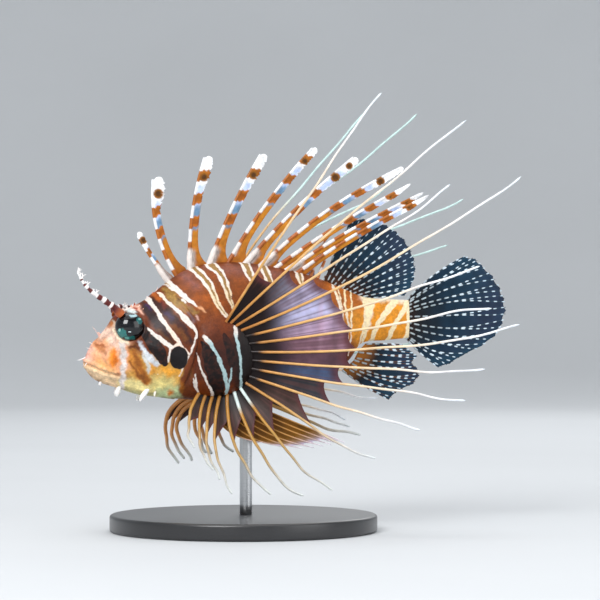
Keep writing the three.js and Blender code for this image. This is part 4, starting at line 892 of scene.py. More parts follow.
def fan_webs(name, side, rays, webs, material, rows=56, columns=17, dip=0.045, billow=0.05):
    """A thin web between each pair of rays. webs are the shares of the two rays."""
    patches = []
    down = np.linspace(0, 1, columns)
    arc = 4 * down * (1 - down)
    for i, (upper, lower) in enumerate(webs):
        edge = np.linspace(0, 1, rows)[:, None] + 0 * down[None, :]
        out = edge * (1 - dip * arc[None, :])
        a, b = rays[i](upper * out), rays[i + 1](lower * out)
        grid = lerp(a, b, down[None, :, None])
        normal = sheet_normals(grid)
        grid = grid + normal * (np.linalg.norm(b - a, axis=-1) * billow * arc[None, :])[..., None]
        share = out * lerp(upper, lower, down[None, :])
        x = grid[..., 0] + side * 0.06 * grid[..., 1]  # the stripes of light run slightly slanted
        tint = web_tint(i, x, share, edge, arc[None, :])
        cover = lerp(1.0, 0.9, ease(share, 0.1, 0.4))
        patches.append((grid, normal * WEB_HALF_THICK, tint, cover))
    return sheets(name, patches, material)


def pectoral_fins(ray_finish, sheet_finish):
    t = np.linspace(0, 1, RAY_POINTS)
    # the last 1.5% of a ray is rounded off
    rounding = np.sqrt(np.clip(1 - (np.maximum(0, t - 0.985) / 0.0155) ** 2, 0.04, 1))
    for word, side in SIDES.items():
        lines, webs = pectoral_rays(side)
        sheet = fan_webs(f"pectoral_webs_{word}", side, lines, webs, sheet_finish)
        place(sheet, "fan_fin", f"pectoral_fin_{word}")
        radii, tints = [], []
        for i, row in enumerate(FAN_RAYS[side]):
            low = float(ease(i, 8.5, 12.5))
            at_root, at_tip = (lerp(upper, lower, low) for upper, lower in zip(*RAY_RADII[side]))
            radii.append(lerp(at_root, at_tip, t) * rounding)
            tints.append(fan_ray_tint(side, i, t, t * row[1]))
        rays = rods(f"pectoral_rays_{word}", [line(t) for line in lines], radii, RAY_SIDES,
                    ray_finish, tints)
        place(rays, "fan_fin")


# Dorsal spines as [root x, angle, length, bend, sideways lean]
DORSAL_SPINES = [
    (-31, 124, 23.5, 0.014, 0.01), (-27.6, 104, 42, 0.087, -0.01),
    (-22.6, 82.6, 48, 0.045, 0.01), (-15.2, 65, 52, 0.026, -0.01),
    (-7.6, 53.4, 61.5, 0.03, 0.01), (-0.6, 44.4, 65.5, 0.025, -0.01),
    (6, 35, 73.5, 0.043, -0.02), (11.6, 32, 67.5, 0.02, -0.05),
    (16.6, 30, 66, 0.023, -0.09), (21.2, 31, 63.5, 0.024, -0.13),
]
SHORT_SPINES = [(25, 55, 21, 0.05, 0.08), (28, 59, 17, 0.047, 0.07), (31, 64, 20, 0.03, 0.04)]
SPINE_SINK = 2.0
SPINE_RADII, SHORT_SPINE_RADII = (0.92, 0.42), (0.8, 0.3)
SPINE_STEP = 0.33  # between the points of a spine and its skin
SPINE_SIDES = 10
SHORT_SPINE_POINTS = 60
LEAF_COLUMNS = 9
LEAF_HALF_THICK = 0.17
# The skin behind each long spine: [distance of its spot from the tip, the spot's radius, 1 if
# the spot lies on a bar, the first bar's distance from the spot, distance between bars, width
# of the skin at its middle and near the tip, roundness of the tip, 1 if the base is white]
LEAVES = [
    (4.0, 1.7, 0, 6.2, 6.3, 1.3, 2.0, 1, 1), (7.1, 2.15, 0, 8.1, 9.0, 2.6, 5.0, 1, 0),
    (9.2, 1.9, 1, 10.1, 9.9, 2.9, 4.0, 1, 1), (10.2, 1.9, 1, 10.7, 11.0, 2.9, 3.5, 1, 1),
    (7.4, 1.6, 1, 11.0, 10.4, 2.5, 2.6, 1, 0), (4.9, 1.6, 0, 19.3, 10.2, 2.4, 3.2, 1, 1),
    (11.4, 1.9, 0, 11.0, 11.0, 2.1, 2.5, 0.4, 1), (10.1, 0.6, 1, 10.1, 10.4, 1.9, 1.9, 0, 0),
    (8.2, 0.6, 1, 10.7, 10.4, 1.8, 1.8, 0, 1), (9.6, 0.6, 1, 11.0, 10.6, 1.8, 1.9, 0, 0),
]
# The second round spot of the sixth spine: [spine, distance from the first spot, radius]
SECOND_SPOT = (5, 7.7, 2.1)


def spine_line(spine):
    x, angle, length, bend, lean = spine
    y = 0.5 * min(max(lean * 16, -1), 1)
    root = np.array([x, y, float(back(x)) - SPINE_SINK])
    return bent_line(root, angle, length + SPINE_SINK, bend, lambda t: lean * length * t)


def spine_tint(i, from_root, from_tip, behind, across):
    """Colours of a spine and its skin. behind is 0 at the shaft and 1 at the skin's far edge."""
    spot, radius, banded, first, period, _, _, _, white_base = LEAVES[i]
    plain_gap = from_tip - spot
    gap = plain_gap + 1.5 * behind + 0.3 * np.sin(3 * across + 2 * i)
    off = np.abs((gap - first) / period - np.round((gap - first) / period)) * period
    bar = ease(0.235 * period - off, -0.2, 0.2) * (gap > first - period / 2)
    bar = np.maximum(bar, banded * ease(2.3 - np.abs(gap), -0.2, 0.2))
    film = ease(behind, 0.08, 0.3)
    inner = ease(gap, first + 1.25 * period, first + 1.45 * period)
    tint = graded([(-12, "#f4f6f8"), (first + period, "#eeeef0"), (60, "#f0e2da")], gap)
    tint = laid(tint, "#6c97dc", 0.6 * film * (1 - ease(behind, 0.8, 1)) * ease(gap, 3.2, 5.5))
    tint = laid(tint, "#41708e", 0.8 * film * ease(gap, first + 0.2 * period, first + 0.5 * period))
    gold = graded([(0, "#a8641a"), (40, "#ac5e14"), (60, "#a8581a")], from_tip)
    tint = lerp(tint, gold, bar[..., None])
    tint = laid(tint, "#7c3e0c", 0.5 * bar * ease(0.12 * period - off, -0.4, 0.4) * film)
    amber = graded([(0, "#8a4a12"), (6, "#a8641a"), (20, "#bc781e")], from_root)
    tint = lerp(tint, amber, (inner * film)[..., None])
    for centre, size in [(0, radius)] + [SECOND_SPOT[1:]] * (i == SECOND_SPOT[0]):
        reach = np.hypot(plain_gap - centre, across - 0.5 * LEAVES[i][6] - 0.1)
        tint = laid(tint, "#8c5612", ease(size - reach, -0.25, 0.25))
        tint = laid(tint, "#46280a", 0.9 * ease(size * 0.62 - reach, -0.4, 0.4))
    if white_base:
        tint = laid(tint, "#9c8e88", (1 - ease(from_root, 8, 11)) * (1 - ease(across, 2.0, 3.0)))
        tint = laid(tint, "#e2d8d2", (1 - ease(from_root, 9, 11)) * (1 - ease(across, 0.8, 1.4)))
    return tint


def leaf(i, line, spine, after):
    """The thin skin behind one spine, which widens at its foot to reach the next spine."""
    _, _, _, _, _, middle, tip, blunt, _ = LEAVES[i]
    length = spine[2] + SPINE_SINK
    reach = np.linspace(0, length * 0.998, int(length / SPINE_STEP))
    t = reach / length
    centre = line(t)
    along = np.gradient(centre, axis=0)
    along /= np.linalg.norm(along, axis=1, keepdims=True)
    behind = np.cross(np.array([0, 1.0, 0]), along)
    behind /= np.linalg.norm(behind, axis=1, keepdims=True)
    width = lerp(middle, tip, ease(t, 0.66, 0.86)) + 0.3
    wave = 0.05 * np.sin(2.9 * reach + i) + 0.035 * np.sin(5.3 * reach + 2 * i)
    nick = 0.16 * np.maximum(0, np.sin(1.7 * reach + i)) ** 10
    width *= 1 + (wave - nick) * ease(t, 0.5, 0.8) * lerp(0.4, 1, blunt)
    left = length - reach
    width *= lerp(np.minimum(1, (left + 0.3) / 9) ** 0.6, 1, blunt)
    angle = math.radians(spine[1])
    gap = (after - spine[0]) * math.sin(angle + 0.12)
    foot = max(0, (after - spine[0]) * math.cos(angle)) + SPINE_SINK + 0.6
    width += max(gap - middle, 0) * np.exp(-np.maximum(0, reach - foot) / 3.4)
    past = np.clip(1 - left / (0.75 * width), 0, 1)
    tuck = blunt * 0.5 * width * (1 - np.sqrt(1 - past**2))
    share = np.linspace(0, 1, LEAF_COLUMNS)[None, :]
    across = lerp(tuck[:, None], (width - tuck)[:, None], share)
    grid = centre[:, None] + behind[:, None] * across[..., None]
    half_thick = LEAF_HALF_THICK * np.sqrt(np.clip(1 - share**2, 0.08, 1))
    offset = np.cross(along, behind)[:, None] * half_thick[..., None]
    zero = 0 * across
    tint = spine_tint(i, reach[:, None] + zero, left[:, None] + zero, share + zero, across)
    return grid, offset, tint, 1.0


def spiny_dorsal(spine_finish, leaf_finish):
    lines = [spine_line(spine) for spine in DORSAL_SPINES]
    nexts = [spine[0] for spine in DORSAL_SPINES[1:] + SHORT_SPINES[:1]]
    leaves = [leaf(i, *parts) for i, parts in enumerate(zip(lines, DORSAL_SPINES, nexts))]
    place(sheets("dorsal_leaves", leaves, leaf_finish), "dorsal_spine", "dorsal_fin_spiny")
    shafts, radii, tints = [], [], []
    for i, (line, spine) in enumerate(zip(lines, DORSAL_SPINES)):
        length = spine[2] + SPINE_SINK
        reach = np.linspace(0, length - 1.3 * LEAVES[i][7], int(length / SPINE_STEP))
        shafts.append(line(reach / length))
        base = 0.4 * LEAVES[i][8] * (1 - ease(reach, 7, 10))
        blunting = np.minimum(1, 0.4 + (length - reach) / 2)
        radii.append((lerp(*SPINE_RADII, reach / length) + base) * blunting)
        zero = np.zeros(len(reach))
        tints.append(spine_tint(i, reach, length - reach, zero, zero))
    for spine in SHORT_SPINES:
        reach = np.linspace(0, spine[2], SHORT_SPINE_POINTS)
        shafts.append(spine_line(spine)(reach / spine[2]))
        radii.append(lerp(*SHORT_SPINE_RADII, reach / spine[2]))
        tints.append(laid(graded([(0, "#d8c8c4"), (20, "#f2efee")], reach), "#c07034",
                          ease(np.abs(reach % 5 - 2.5), 1.7, 1.2)))
    place(rods("dorsal_spines", shafts, radii, SPINE_SIDES, spine_finish, tints), "dorsal_spine")


# Soft fins. A ray is [x and z of its root, angle, length, bend].
SOFT_DORSAL = {"from": 33.4, "to": 49.8, "rays": 12, "angles": (65, 5),
               "lengths": (29.5, 35, 18.5), "sink": 1.5, "bend": 0.012}
TAIL_RAYS = [
    (69.5, 96.2, 36.2, 32.9, 0.055), (69.5, 95.4, 31.6, 37.0, 0.02),
    (69.5, 94.6, 26.8, 38.5, 0.045), (69.5, 93.8, 18.8, 41.6, 0.03),
    (69.5, 92.6, 12.3, 43.7, 0.025), (69.5, 91.2, 7.6, 45.0, 0.045),
    (69.5, 89.6, 3.5, 45.4, -0.015), (69.5, 87.3, -0.3, 43.8, -0.06),
    (69.5, 85.4, -5.6, 40.6, -0.055), (69.5, 83.7, -10.8, 34.9, -0.07),
    (69.5, 82.2, -19.5, 27.3, -0.1), (69.5, 81.2, -31, 23.2, -0.04),
    (69.5, 80.4, -41, 19.4, -0.035),
]
ANAL_RAYS = [
    (42.0, 67.1, -31.6, 24.7, -0.034), (43.2, 68.4, -23.4, 26.3, -0.034),
    (44.5, 68.8, -14.7, 30.5, -0.05), (45.8, 70.1, -9.6, 31.3, -0.1),
    (47.1, 71.3, -6.6, 28.6, -0.055), (47.5, 72.2, -4.5, 25.5, -0.027),
    (48.8, 74.7, -3.8, 26.8, -0.021), (49.7, 75.9, -3.3, 23.3, 0.019),
    (51.8, 78.0, -0.9, 16.8, 0.02),
]
# Pelvic rays as [root x, tip x, tip z, bend]
PELVIC_RAYS = [
    (-15, 7.3, 37.1, -0.18), (-14, 16.5, 35.4, -0.14), (-13, 23.5, 34.8, -0.11),
    (-12, 28.6, 35.0, -0.085), (-11, 32.6, 35.6, -0.06), (-10, 36, 36.2, -0.04),
    (-9, 38.8, 36.6, -0.02), (-8, 41.6, 37.0, 0.0),
]
PELVIC = {"y": 4.2, "spread": 0.075, "sink": 1.8, "points": 60, "radii": (0.32, 0.24)}
# Shares of the rays' length to which the skin of the soft fins, their rays and the pelvic
# fins' skin reach
SOFT_SKIN_SHARE, SOFT_RAY_SHARE, PELVIC_SKIN_SHARE = 0.96, 0.962, 0.93
DASH_SPACING = 3.4
FORK_SHARE = 0.27
SOFT_STEP = 0.28  # between the points of a soft ray
SOFT_SIDES = 6


def through(three, share):
    """From the first to the last of three values, through the middle one."""
    first, middle, last = three
    ends = first * (1 - share) * (1 - 2 * share) + last * share * (2 * share - 1)
    return ends + 4 * middle * share * (1 - share)


def length_of(line):
    return float(np.linalg.norm(np.diff(line(np.linspace(0, 1, 20)), axis=0), axis=1).sum())


def dashed_rays(name, lines, tip, thick, gaps, material):
    """Soft rays, each forked towards the fin's edge and painted and swollen in pale dashes."""
    random = np.random.default_rng(11)
    centres, radii, tints = [], [], []
    for line, left, right in zip(lines, [lines[0], *lines[:-1]], [*lines[1:], lines[-1]]):
        length = length_of(line)
        t = np.linspace(0, tip, int(length / SOFT_STEP))
        step = t * length / DASH_SPACING + random.uniform(0, 1)
        dash = ease(lerp(0.36, 0.17, t) - np.abs(step % 1 - 0.5), -0.06, 0.06)
        tint = lerp(graded(gaps, t), graded([(0, "#dfe9ee"), (1, "#c6dae8")], t), dash[:, None])
        for other in (left, right):
            fork = FORK_SHARE * ease(t, 0.42, 1.0)
            centres.append(lerp(line(t), other(t), fork[:, None]))
            radii.append(thick * lerp(1.0, 0.62, t) * (0.5 + 0.5 * dash))
            tints.append(tint)
    return rods(name, centres, radii, SOFT_SIDES, material, tints)


def navy_skin(root, reach):
    """Painter of a soft fin's skin: dark navy with faint violet clouds, after the root's colour."""
    def paint(share, ray, arc):
        tint = graded([(0, root), (reach, "#15191e"), (0.45, "#0d2739"), (1, "#173a50")], share)
        violet = 0.5 * ease(share, 0.4, 0.9) * (0.5 + 0.5 * np.sin(5 * share + 7 * ray[None, :]))
        return laid(tint, "#2a2740", violet), lerp(0.98, 0.9, ease(share, 0.2, 0.9))
    return paint


def golden_skin(share, ray, arc):
    """Tint and cover of the pelvic fins' skin: golden brown, lavender at the edge."""
    tint = graded([(0, "#4a2406"), (0.35, "#7a4808"), (0.8, "#8c5c12"), (0.92, "#9c7c60"),
                   (1, "#cfc0dc")], share)
    tint = laid(tint, "#4a2806", 0.55 * arc[None, :] * (1 - ease(share, 0.75, 0.95)))
    return tint, 0.97


def soft_fins(dash_finish, navy_finish, pelvic_finish, golden_finish):
    soft, sink = [], SOFT_DORSAL["sink"]
    for share in np.linspace(0, 1, SOFT_DORSAL["rays"]):
        x = lerp(SOFT_DORSAL["from"], SOFT_DORSAL["to"], share)
        root = np.array([x, 0, float(back(x)) - sink])
        length = through(SOFT_DORSAL["lengths"], share) + sink
        angle = lerp(*SOFT_DORSAL["angles"], share)
        soft.append(bent_line(root, angle, length, SOFT_DORSAL["bend"]))
    tail, anal = ([bent_line(np.array([x, 0, z]), angle, length, bend)
                   for x, z, angle, length, bend in table] for table in (TAIL_RAYS, ANAL_RAYS))
    brown = [(0, "#8c4a1a"), (0.25, "#6a3616"), (0.5, "#2c3840"), (1, "#24404e")]
    dark = [(0, "#4a2410"), (0.2, "#2c2420"), (0.45, "#1e323e"), (1, "#24404e")]
    rust = [(0, "#a06020"), (0.5, "#6a3a14"), (1, "#4a3424")]
    fins = (("soft_dorsal", soft, "dorsal_fin_soft", brown, 0.38, ("#4a2810", 0.22)),
            ("tail_fin", tail, "caudal_fin", dark, 0.42, ("#2c150c", 0.14)),
            ("anal_fin", anal, "anal_fin", rust, 0.44, ("#a8661c", 0.34)))
    for name, lines, node, gaps, thick, root in fins:
        sheet = fin_sheet(f"{name}_sheet", lines, SOFT_SKIN_SHARE, navy_finish, navy_skin(*root))
        place(sheet, "soft_fin", node)
        rays = dashed_rays(f"{name}_rays", lines, SOFT_RAY_SHARE, thick, gaps, dash_finish)
        place(rays, "soft_fin")
    for word, side in SIDES.items():
        lines = []
        for x, tip_x, tip_z, bend in PELVIC_RAYS:
            root = [x, side * PELVIC["y"], float(belly(x)) + PELVIC["sink"]]
            stray = (lambda t, side=side, run=tip_x - x: side * PELVIC["spread"] * run * t)
            lines.append(line_between(root, [tip_x, 0, tip_z], bend, stray))
        sheet = fin_sheet(f"pelvic_{word}_sheet", lines, PELVIC_SKIN_SHARE, golden_finish,
                          golden_skin, notch=0.06)
        place(sheet, "fan_fin", f"pelvic_fin_{word}")
        t = np.linspace(0, 1, PELVIC["points"])
        tint = graded([(0, "#8a4e14"), (0.3, "#c08030"), (0.7, "#cf9a58"), (0.88, "#dcc8cc"),
                       (1, "#efeaf6")], t)
        radii = [lerp(*PELVIC["radii"], t)] * len(lines)
        place(rods(f"pelvic_{word}_rays", [line(t) for line in lines], radii, SOFT_SIDES,
                   pelvic_finish, [tint] * len(lines)), "fan_fin")


# Eyes, tentacles and the head's trim
def ball(name, centre, radii, material, paint, rings=95, sides=144):
    """A fine closed ball with its poles on the Y axis, painted by x and z from its centre."""
    lift = (np.arange(1, rings + 1) * np.pi / (rings + 1))[:, None]
    turn = (np.arange(sides) * 2 * np.pi / sides)[None, :]
    points = np.stack([np.sin(lift) * np.cos(turn) * radii[0],
                       np.cos(lift) * radii[1] + 0 * turn,
                       np.sin(lift) * np.sin(turn) * radii[2]], -1).reshape(-1, 3)
    points = np.vstack([points, [[0, radii[1], 0], [0, -radii[1], 0]]])
    marks = {"tint": paint(points[:, 0], points[:, 2])}
    faces = ring_faces(rings, sides)
    return face_outwards(mesh_object(name, points + centre, faces, material, marks))


EYE_CLEARANCE = 0.02  # the ball is this much smaller than the solids' eye
# Patches on the black eye, with a painted reflection and a painted glint: colour, [x, z] from its
# centre, half width and half height
EYE_PATCHES_AND_GLINTS = [
    ("#1d5c5c", (3.9, 2.6), (1.7, 1.5)), ("#6fb0ac", (4.2, 3.2), (0.8, 0.45)),
    ("#256e6a", (-3.5, -2.7), (1.8, 1.9)), ("#7fb8ae", (-4.4, -1.3), (0.5, 0.8)),
    ("#1b5a56", (-0.4, -4.6), (2.6, 1.0)), ("#4c968c", (-1.5, -4.5), (1.1, 0.4)),
    # painted light: a pale reflection streak across the top and a small white glint below the
    # centre
    ("#8fb0b6", (1.2, 4.6), (1.7, 0.6)), ("#cfe2e2", (-0.6, -2.0), (0.7, 0.24)),
]


def eye_tint(x, z):
    tint = np.broadcast_to(np.array(linear("#04050a")), x.shape + (3,)).copy()
    wobble = 0.16 * np.sin(2.3 * x + 1.1 * z) + 0.12 * np.sin(3.1 * z - 1.7 * x)
    for colour, (px, pz), (wide, tall) in EYE_PATCHES_AND_GLINTS:
        gap = np.hypot((x - px) / wide, (z - pz) / tall) + wobble
        tint = laid(tint, colour, 1 - ease(gap, 0.8, 1.05))
    return tint


def eyes(material):
    radius = EYE["radius"] - EYE_CLEARANCE
    for word, side in SIDES.items():
        centre = np.array([EYE["x"], side * EYE["y"], EYE["z"]])
        piece = ball(f"eyeball_{word}", centre, (radius, EYE["depth"], radius), material, eye_tint)
        place(piece, "eye", f"eye_{word}")


def curve_through(points, count):
    """Evenly numbered points on a smooth curve through a list of points."""
    points = np.array(points, float)
    padded = np.vstack([2 * points[0] - points[1], points, 2 * points[-1] - points[-2]])
    t = np.linspace(0, len(points) - 1, count)
    i = np.minimum(t.astype(int), len(points) - 2)
    f = (t - i)[:, None]
    a, b, c, d = (padded[i + k] for k in range(4))
    return 0.5 * (2 * b + (c - a) * f + (2 * a - 5 * b + 4 * c - d) * f**2
                  + (3 * b - a - 3 * c + d) * f**3)


# A tentacle's root, at a turn round the eye, with the points, sides and radii of its stalk
TENTACLE = {"turn": math.radians(124), "from_eye": 6, "outwards": 1.4, "points": 240, "sides": 20,
            "root_radius": 1.75, "tip_radius": 0.4}
TENTACLE_PATHS = {
    "left": [(0, 0, 0), (-3.6, -0.8, 3.2), (-5.8, -1.4, 4.8), (-8, -1.8, 6.4), (-10.7, -2.2, 8.0),
             (-13.4, -2.5, 10.2), (-15.6, -2.7, 12.4), (-17.2, -2.8, 15.0), (-18.6, -2.8, 17.7)],
    "right": [(0, 0, 0), (-0.5, 2.5, 2), (1.5, 5.5, 3.2), (5.5, 8.5, 3.2), (10.5, 11, 3),
              (15.5, 13.5, 4)],
}
# Maroon bands along a tentacle: [share of its length, half width]
TENTACLE_BANDS = [(0.04, 0.12), (0.27, 0.055), (0.44, 0.04), (0.63, 0.04), (0.75, 0.02),
                  (0.85, 0.015)]
# Tassels on each tentacle: [share of its length, length in mm]
TASSELS = [(0.34, 1.6), (0.5, 2.4), (0.57, 1.6), (0.68, 2.8), (0.74, 1.7), (0.84, 3.0), (0.9, 2.2),
           (0.96, 2.2), (0.99, 2.0)]
# Stem and prongs of a tassel, as shares of its length, and the radii at root, fork and tip
TASSEL = {"points": 9, "stem": 0.6, "prong": 0.5, "forks": (-0.8, 0.5), "radii": (0.42, 0.26, 0.1)}
TRIM_SIDES = 8


def tassel(start, out, along, length):
    """A forked tassel: the centre lines and the radii of its stem and two prongs."""
    s = np.linspace(0, 1, TASSEL["points"])
    at_root, at_fork, at_tip = TASSEL["radii"]
    stem = start + out * (length * TASSEL["stem"] * s)[:, None]
    lines, radii = [stem], [lerp(at_root, at_fork, s)]
    for fork in TASSEL["forks"]:
        way = out + fork * along
        way /= np.linalg.norm(way)
        lines.append(stem[-1] + way * (length * TASSEL["prong"] * s)[:, None])
        radii.append(lerp(at_fork, at_tip, s))
    return lines, radii


def tentacles(stalk_finish, tassel_finish):
    random = np.random.default_rng(7)
    for word, side in SIDES.items():
        away, turn = TENTACLE["from_eye"], TENTACLE["turn"]
        root = np.array([EYE["x"] + away * math.cos(turn), side * (EYE["y"] + TENTACLE["outwards"]),
                         EYE["z"] + away * math.sin(turn)])
        path = curve_through(np.array(TENTACLE_PATHS[word]), TENTACLE["points"]) + root
        t = np.linspace(0, 1, TENTACLE["points"])
        maroon = np.max([ease(half - np.abs(t - at), -0.008, 0.008)
                         for at, half in TENTACLE_BANDS], 0)
        tint = graded([(0, "#e8b8a0"), (0.2, "#f2e8e4"), (1, "#f4f4f4")], t)
        tint = laid(tint, "#5c1f1c", maroon)
        tint = laid(tint, "#b8602c", 0.8 * (1 - ease(t, 0.02, 0.1)))
        radius = lerp(TENTACLE["root_radius"], TENTACLE["tip_radius"], t**0.75)
        radius = radius * (1 + 0.16 * np.sin(46 * t)) * np.sqrt(np.clip(40 * (1 - t), 0.1, 1))
        stalk = rods(f"tentacle_stalk_{word}", [path], [radius], TENTACLE["sides"], stalk_finish,
                     [tint])
        place(stalk, "tentacle", f"tentacle_{word}")
        lines, radii = [], []
        last = TENTACLE["points"] - 1
        for share, length in TASSELS:
            at = int(share * last)
            along = path[min(at + 1, last)] - path[at - 1]
            along /= np.linalg.norm(along)
            out = np.array([0.5, side * random.uniform(-0.5, 0.3), 1.0]) + 0.5 * along
            more = tassel(path[at], out / np.linalg.norm(out), along, length)
            lines += more[0]
            radii += more[1]
        tints = [np.tile(linear("#f6f2f0"), (len(line), 1)) for line in lines]
        tassels = rods(f"tentacle_tassels_{word}", lines, radii, TRIM_SIDES, tassel_finish, tints)
        place(tassels, "tentacle")


# Small trim of the head as [x, z, (forward or back, outwards, up), radius at the root, then at
# the middle and the tip, colour]
HEAD_TRIM = [
    (-50.6, 94.0, (-0.5, 0.2, 1.3), (0.5, 0.4, 0.1), "#f0c4b0"),
    (-49.2, 94.9, (-0.2, 0.2, 1.2), (0.6, 0.5, 0.1), "#f6e4da"),
    (-47.8, 94.9, (0.2, 0.2, 1.5), (0.5, 0.4, 0.1), "#f0b8a0"),
    (-46.4, 94.2, (0.3, 0.2, 1.5), (0.5, 0.35, 0.1), "#a8402c"),
    (-45.0, 93.6, (0.6, 0.3, 1.2), (0.5, 0.35, 0.1), "#f0d0c0"),
    (-43.6, 92.4, (0.7, 0.3, 0.9), (0.4, 0.3, 0.1), "#e8a890"),
    (-41.4, 96.6, (0.4, 0.1, 1.8), (0.5, 0.35, 0.1), "#ecd8d4"),
    (-39.4, 98.4, (0.6, 0.1, 2.0), (0.5, 0.3, 0.08), "#e0b4ac"),
    (-37.6, 100.0, (0.9, 0.1, 2.4), (0.5, 0.3, 0.08), "#e8c8c0"),
    (-60.6, 82.2, (-0.8, 0.3, 1.7), (0.75, 0.6, 0.45), "#f0b8a4"),  # nostril tube
    (-60.9, 82.4, (-2.6, 0.3, 4.2), (0.25, 0.16, 0.06), "#f4d8d0"),  # its filament
    (-63.6, 78.4, (-1.3, 0.4, 0.9), (0.2, 0.14, 0.06), "#f6e8e2"),
    (-64.6, 76.6, (-1.4, 0.4, 0.4), (0.2, 0.14, 0.06), "#f6e8e2"),
    (-66.2, 73.4, (-3.4, 0.8, -1.4), (0.22, 0.15, 0.06), "#f8f2f0"),  # whiskers of the snout
    (-65.8, 71.6, (-1.5, 0.8, -2.2), (0.24, 0.18, 0.08), "#f8f2f0"),
    (-48.4, 76.4, (0.3, 0.9, 0.5), (0.3, 0.2, 0.06), "#8a4a14"),
    (-45.0, 74.0, (0.6, 0.9, 0.3), (0.3, 0.2, 0.06), "#8a4a14"),
    (-40.5, 72.6, (0.7, 0.9, 0.2), (0.3, 0.2, 0.06), "#e8e4dc"),
    (-38.0, 66.0, (0.8, 0.8, -0.2), (0.3, 0.2, 0.06), "#f0dcb0"),
    (-60.0, 62.6, (-0.5, 0.2, -1.7), (0.55, 0.5, 0.12), "#fbf6f2"),  # flaps of the chin
    (-52.2, 60.4, (-1.1, 0.4, -3.9), (0.8, 1.15, 0.25), "#f6f2ec"),
    (-40.8, 59.4, (-3.2, 0.8, -4.6), (0.8, 1.1, 0.25), "#fbf8f4"),
    (-37.6, 58.6, (-0.4, 0.5, -2.2), (0.5, 0.5, 0.12), "#f6ecdc"),
]


TRIM_POINTS, TRIM_SINK, TRIM_STRETCH, TRIM_SAG = 15, 0.5, 1.12, 0.12


def head_trim(material):
    """Bristles, tubes, whiskers and flaps that stand out of the head on both sides."""
    s = np.linspace(0, 1, TRIM_POINTS)
    for word, side in SIDES.items():
        lines, radii, tints = [], [], []
        for x, z, (ahead, out, up), thick, colour in HEAD_TRIM:
            angle = angle_at(x, z)
            root = skin_point(x, angle) - skin_normal(x, angle) * TRIM_SINK
            way = np.array([ahead, -out, up])
            sag = np.array([TRIM_SAG * up, 0, -TRIM_SAG * abs(ahead)])
            line = root + way * (s * TRIM_STRETCH)[:, None] + sag * (4 * s * (1 - s))[:, None]
            lines.append(on_side(line, side))
            radii.append(through(thick, s) * np.sqrt(np.clip(12 * (1 - s), 0.2, 1)))
            tints.append(np.tile(linear(colour), (len(s), 1)))
        trim = rods(f"head_trim_{word}", lines, radii, TRIM_SIDES, material, tints)
        place(trim, "tentacle")


# The stand
STAND = {"radius": 56.0, "height": 7.0, "edge": 1.2, "sides": 160, "first_ring": 4, "rings": 8}
ROD = {"radius": 2.6, "x": 1.0, "in_base": 0.5, "in_belly": 1.2, "sides": 64, "rings": 12}


def turned_piece(name, profile, centre, material, sides):
    """A turned piece from [radius, z] pairs that start and end on its axis."""
    ends = [[0, 0, profile[0][1]], [0, 0, profile[-1][1]]]
    points = np.vstack([circles(profile[1:-1], sides), ends]) + np.array([*centre, 0])
    faces = ring_faces(len(profile) - 2, sides)
    return face_outwards(mesh_object(name, points, faces, material))


def rounded(corner, start, end, steps=6):
    """Points [radius, z] of a rounded corner."""
    turn = np.linspace(math.radians(start), math.radians(end), steps)
    (r, z), edge = corner, STAND["edge"]
    return [(r + edge * math.cos(a), z + edge * math.sin(a)) for a in turn]


def stand(base_finish, rod_finish):
    first, inner, height = STAND["first_ring"], STAND["radius"] - STAND["edge"], STAND["height"]
    low, high = STAND["edge"], height - STAND["edge"]
    flat = [(r, 0.0) for r in np.linspace(first, inner - 1, STAND["rings"])]
    top = [(r, height) for r in np.linspace(inner - 1, first, STAND["rings"])]
    profile = [(0, 0), *flat, *rounded((inner, low), -90, 0), *rounded((inner, high), 0, 90), *top,
               (0, height)]
    base = turned_piece("display_base", profile, (0, 0), base_finish, STAND["sides"])
    place(base, "stand_base", "stand_base")
    bottom, head = height - ROD["in_base"], float(belly(ROD["x"])) + ROD["in_belly"]
    side = [(ROD["radius"], z) for z in np.linspace(bottom, head, ROD["rings"])]
    profile = [(0, bottom), *side, (0, head)]
    rod = turned_piece("display_rod", profile, (ROD["x"], 0), rod_finish, ROD["sides"])
    place(rod, "stand_rod", "stand_rod")


# Finishes
def mottled(tree, colour, patch, low, high):
    """A colour made lighter and darker in patches, patch millimetres across."""
    place_of = add(tree, "ShaderNodeTexCoord").outputs["Object"]
    cloud = add(tree, "ShaderNodeTexNoise", {"Vector": place_of, "Scale": 1 / (patch * MM),
                                             "Detail": 4.0}).outputs["Fac"]
    shade = add(tree, "ShaderNodeMapRange", {"Value": cloud, "From Min": 0.3, "From Max": 0.7,
                                             "To Min": low, "To Max": high}).outputs["Result"]
    return add(tree, "ShaderNodeVectorMath", {0: colour, 1: shade}, operation="MULTIPLY").outputs[0]


def grainy(tree, shader, grain, height, strength=0.4):
    """Relief on a shader, its grains and their height in millimetres."""
    place_of = add(tree, "ShaderNodeTexCoord").outputs["Object"]
    cloud = add(tree, "ShaderNodeTexNoise", {"Vector": place_of, "Scale": 1 / (grain * MM),
                                             "Detail": 4.0}).outputs["Fac"]
    relief = add(tree, "ShaderNodeBump", {"Height": cloud, "Strength": strength,
                                          "Distance": height * MM}).outputs["Normal"]
    tree.links.new(relief, shader.inputs["Normal"])


def painted(name, patch, low, high, relief, film=False, **values):
    """A coat in the piece's painted tint, cloudy in patches of so many millimetres, and grained.

    The grain of cast resin, rubber and horn is about 0.1 mm. It is drawn 1.1 mm across, so that
    it shows. A film lets light through where its cover is under 1.
    """
    material, tree, shader = new_material(name)
    tint = add(tree, "ShaderNodeAttribute", attribute_name="tint").outputs["Color"]
    tree.links.new(mottled(tree, tint, patch, low, high), shader.inputs["Base Color"])
    if film:
        cover = add(tree, "ShaderNodeAttribute", attribute_name="cover").outputs["Fac"]
        tree.links.new(cover, shader.inputs["Alpha"])
    grainy(tree, shader, 1.1, relief)
    finish_of(shader, **values)
    return material


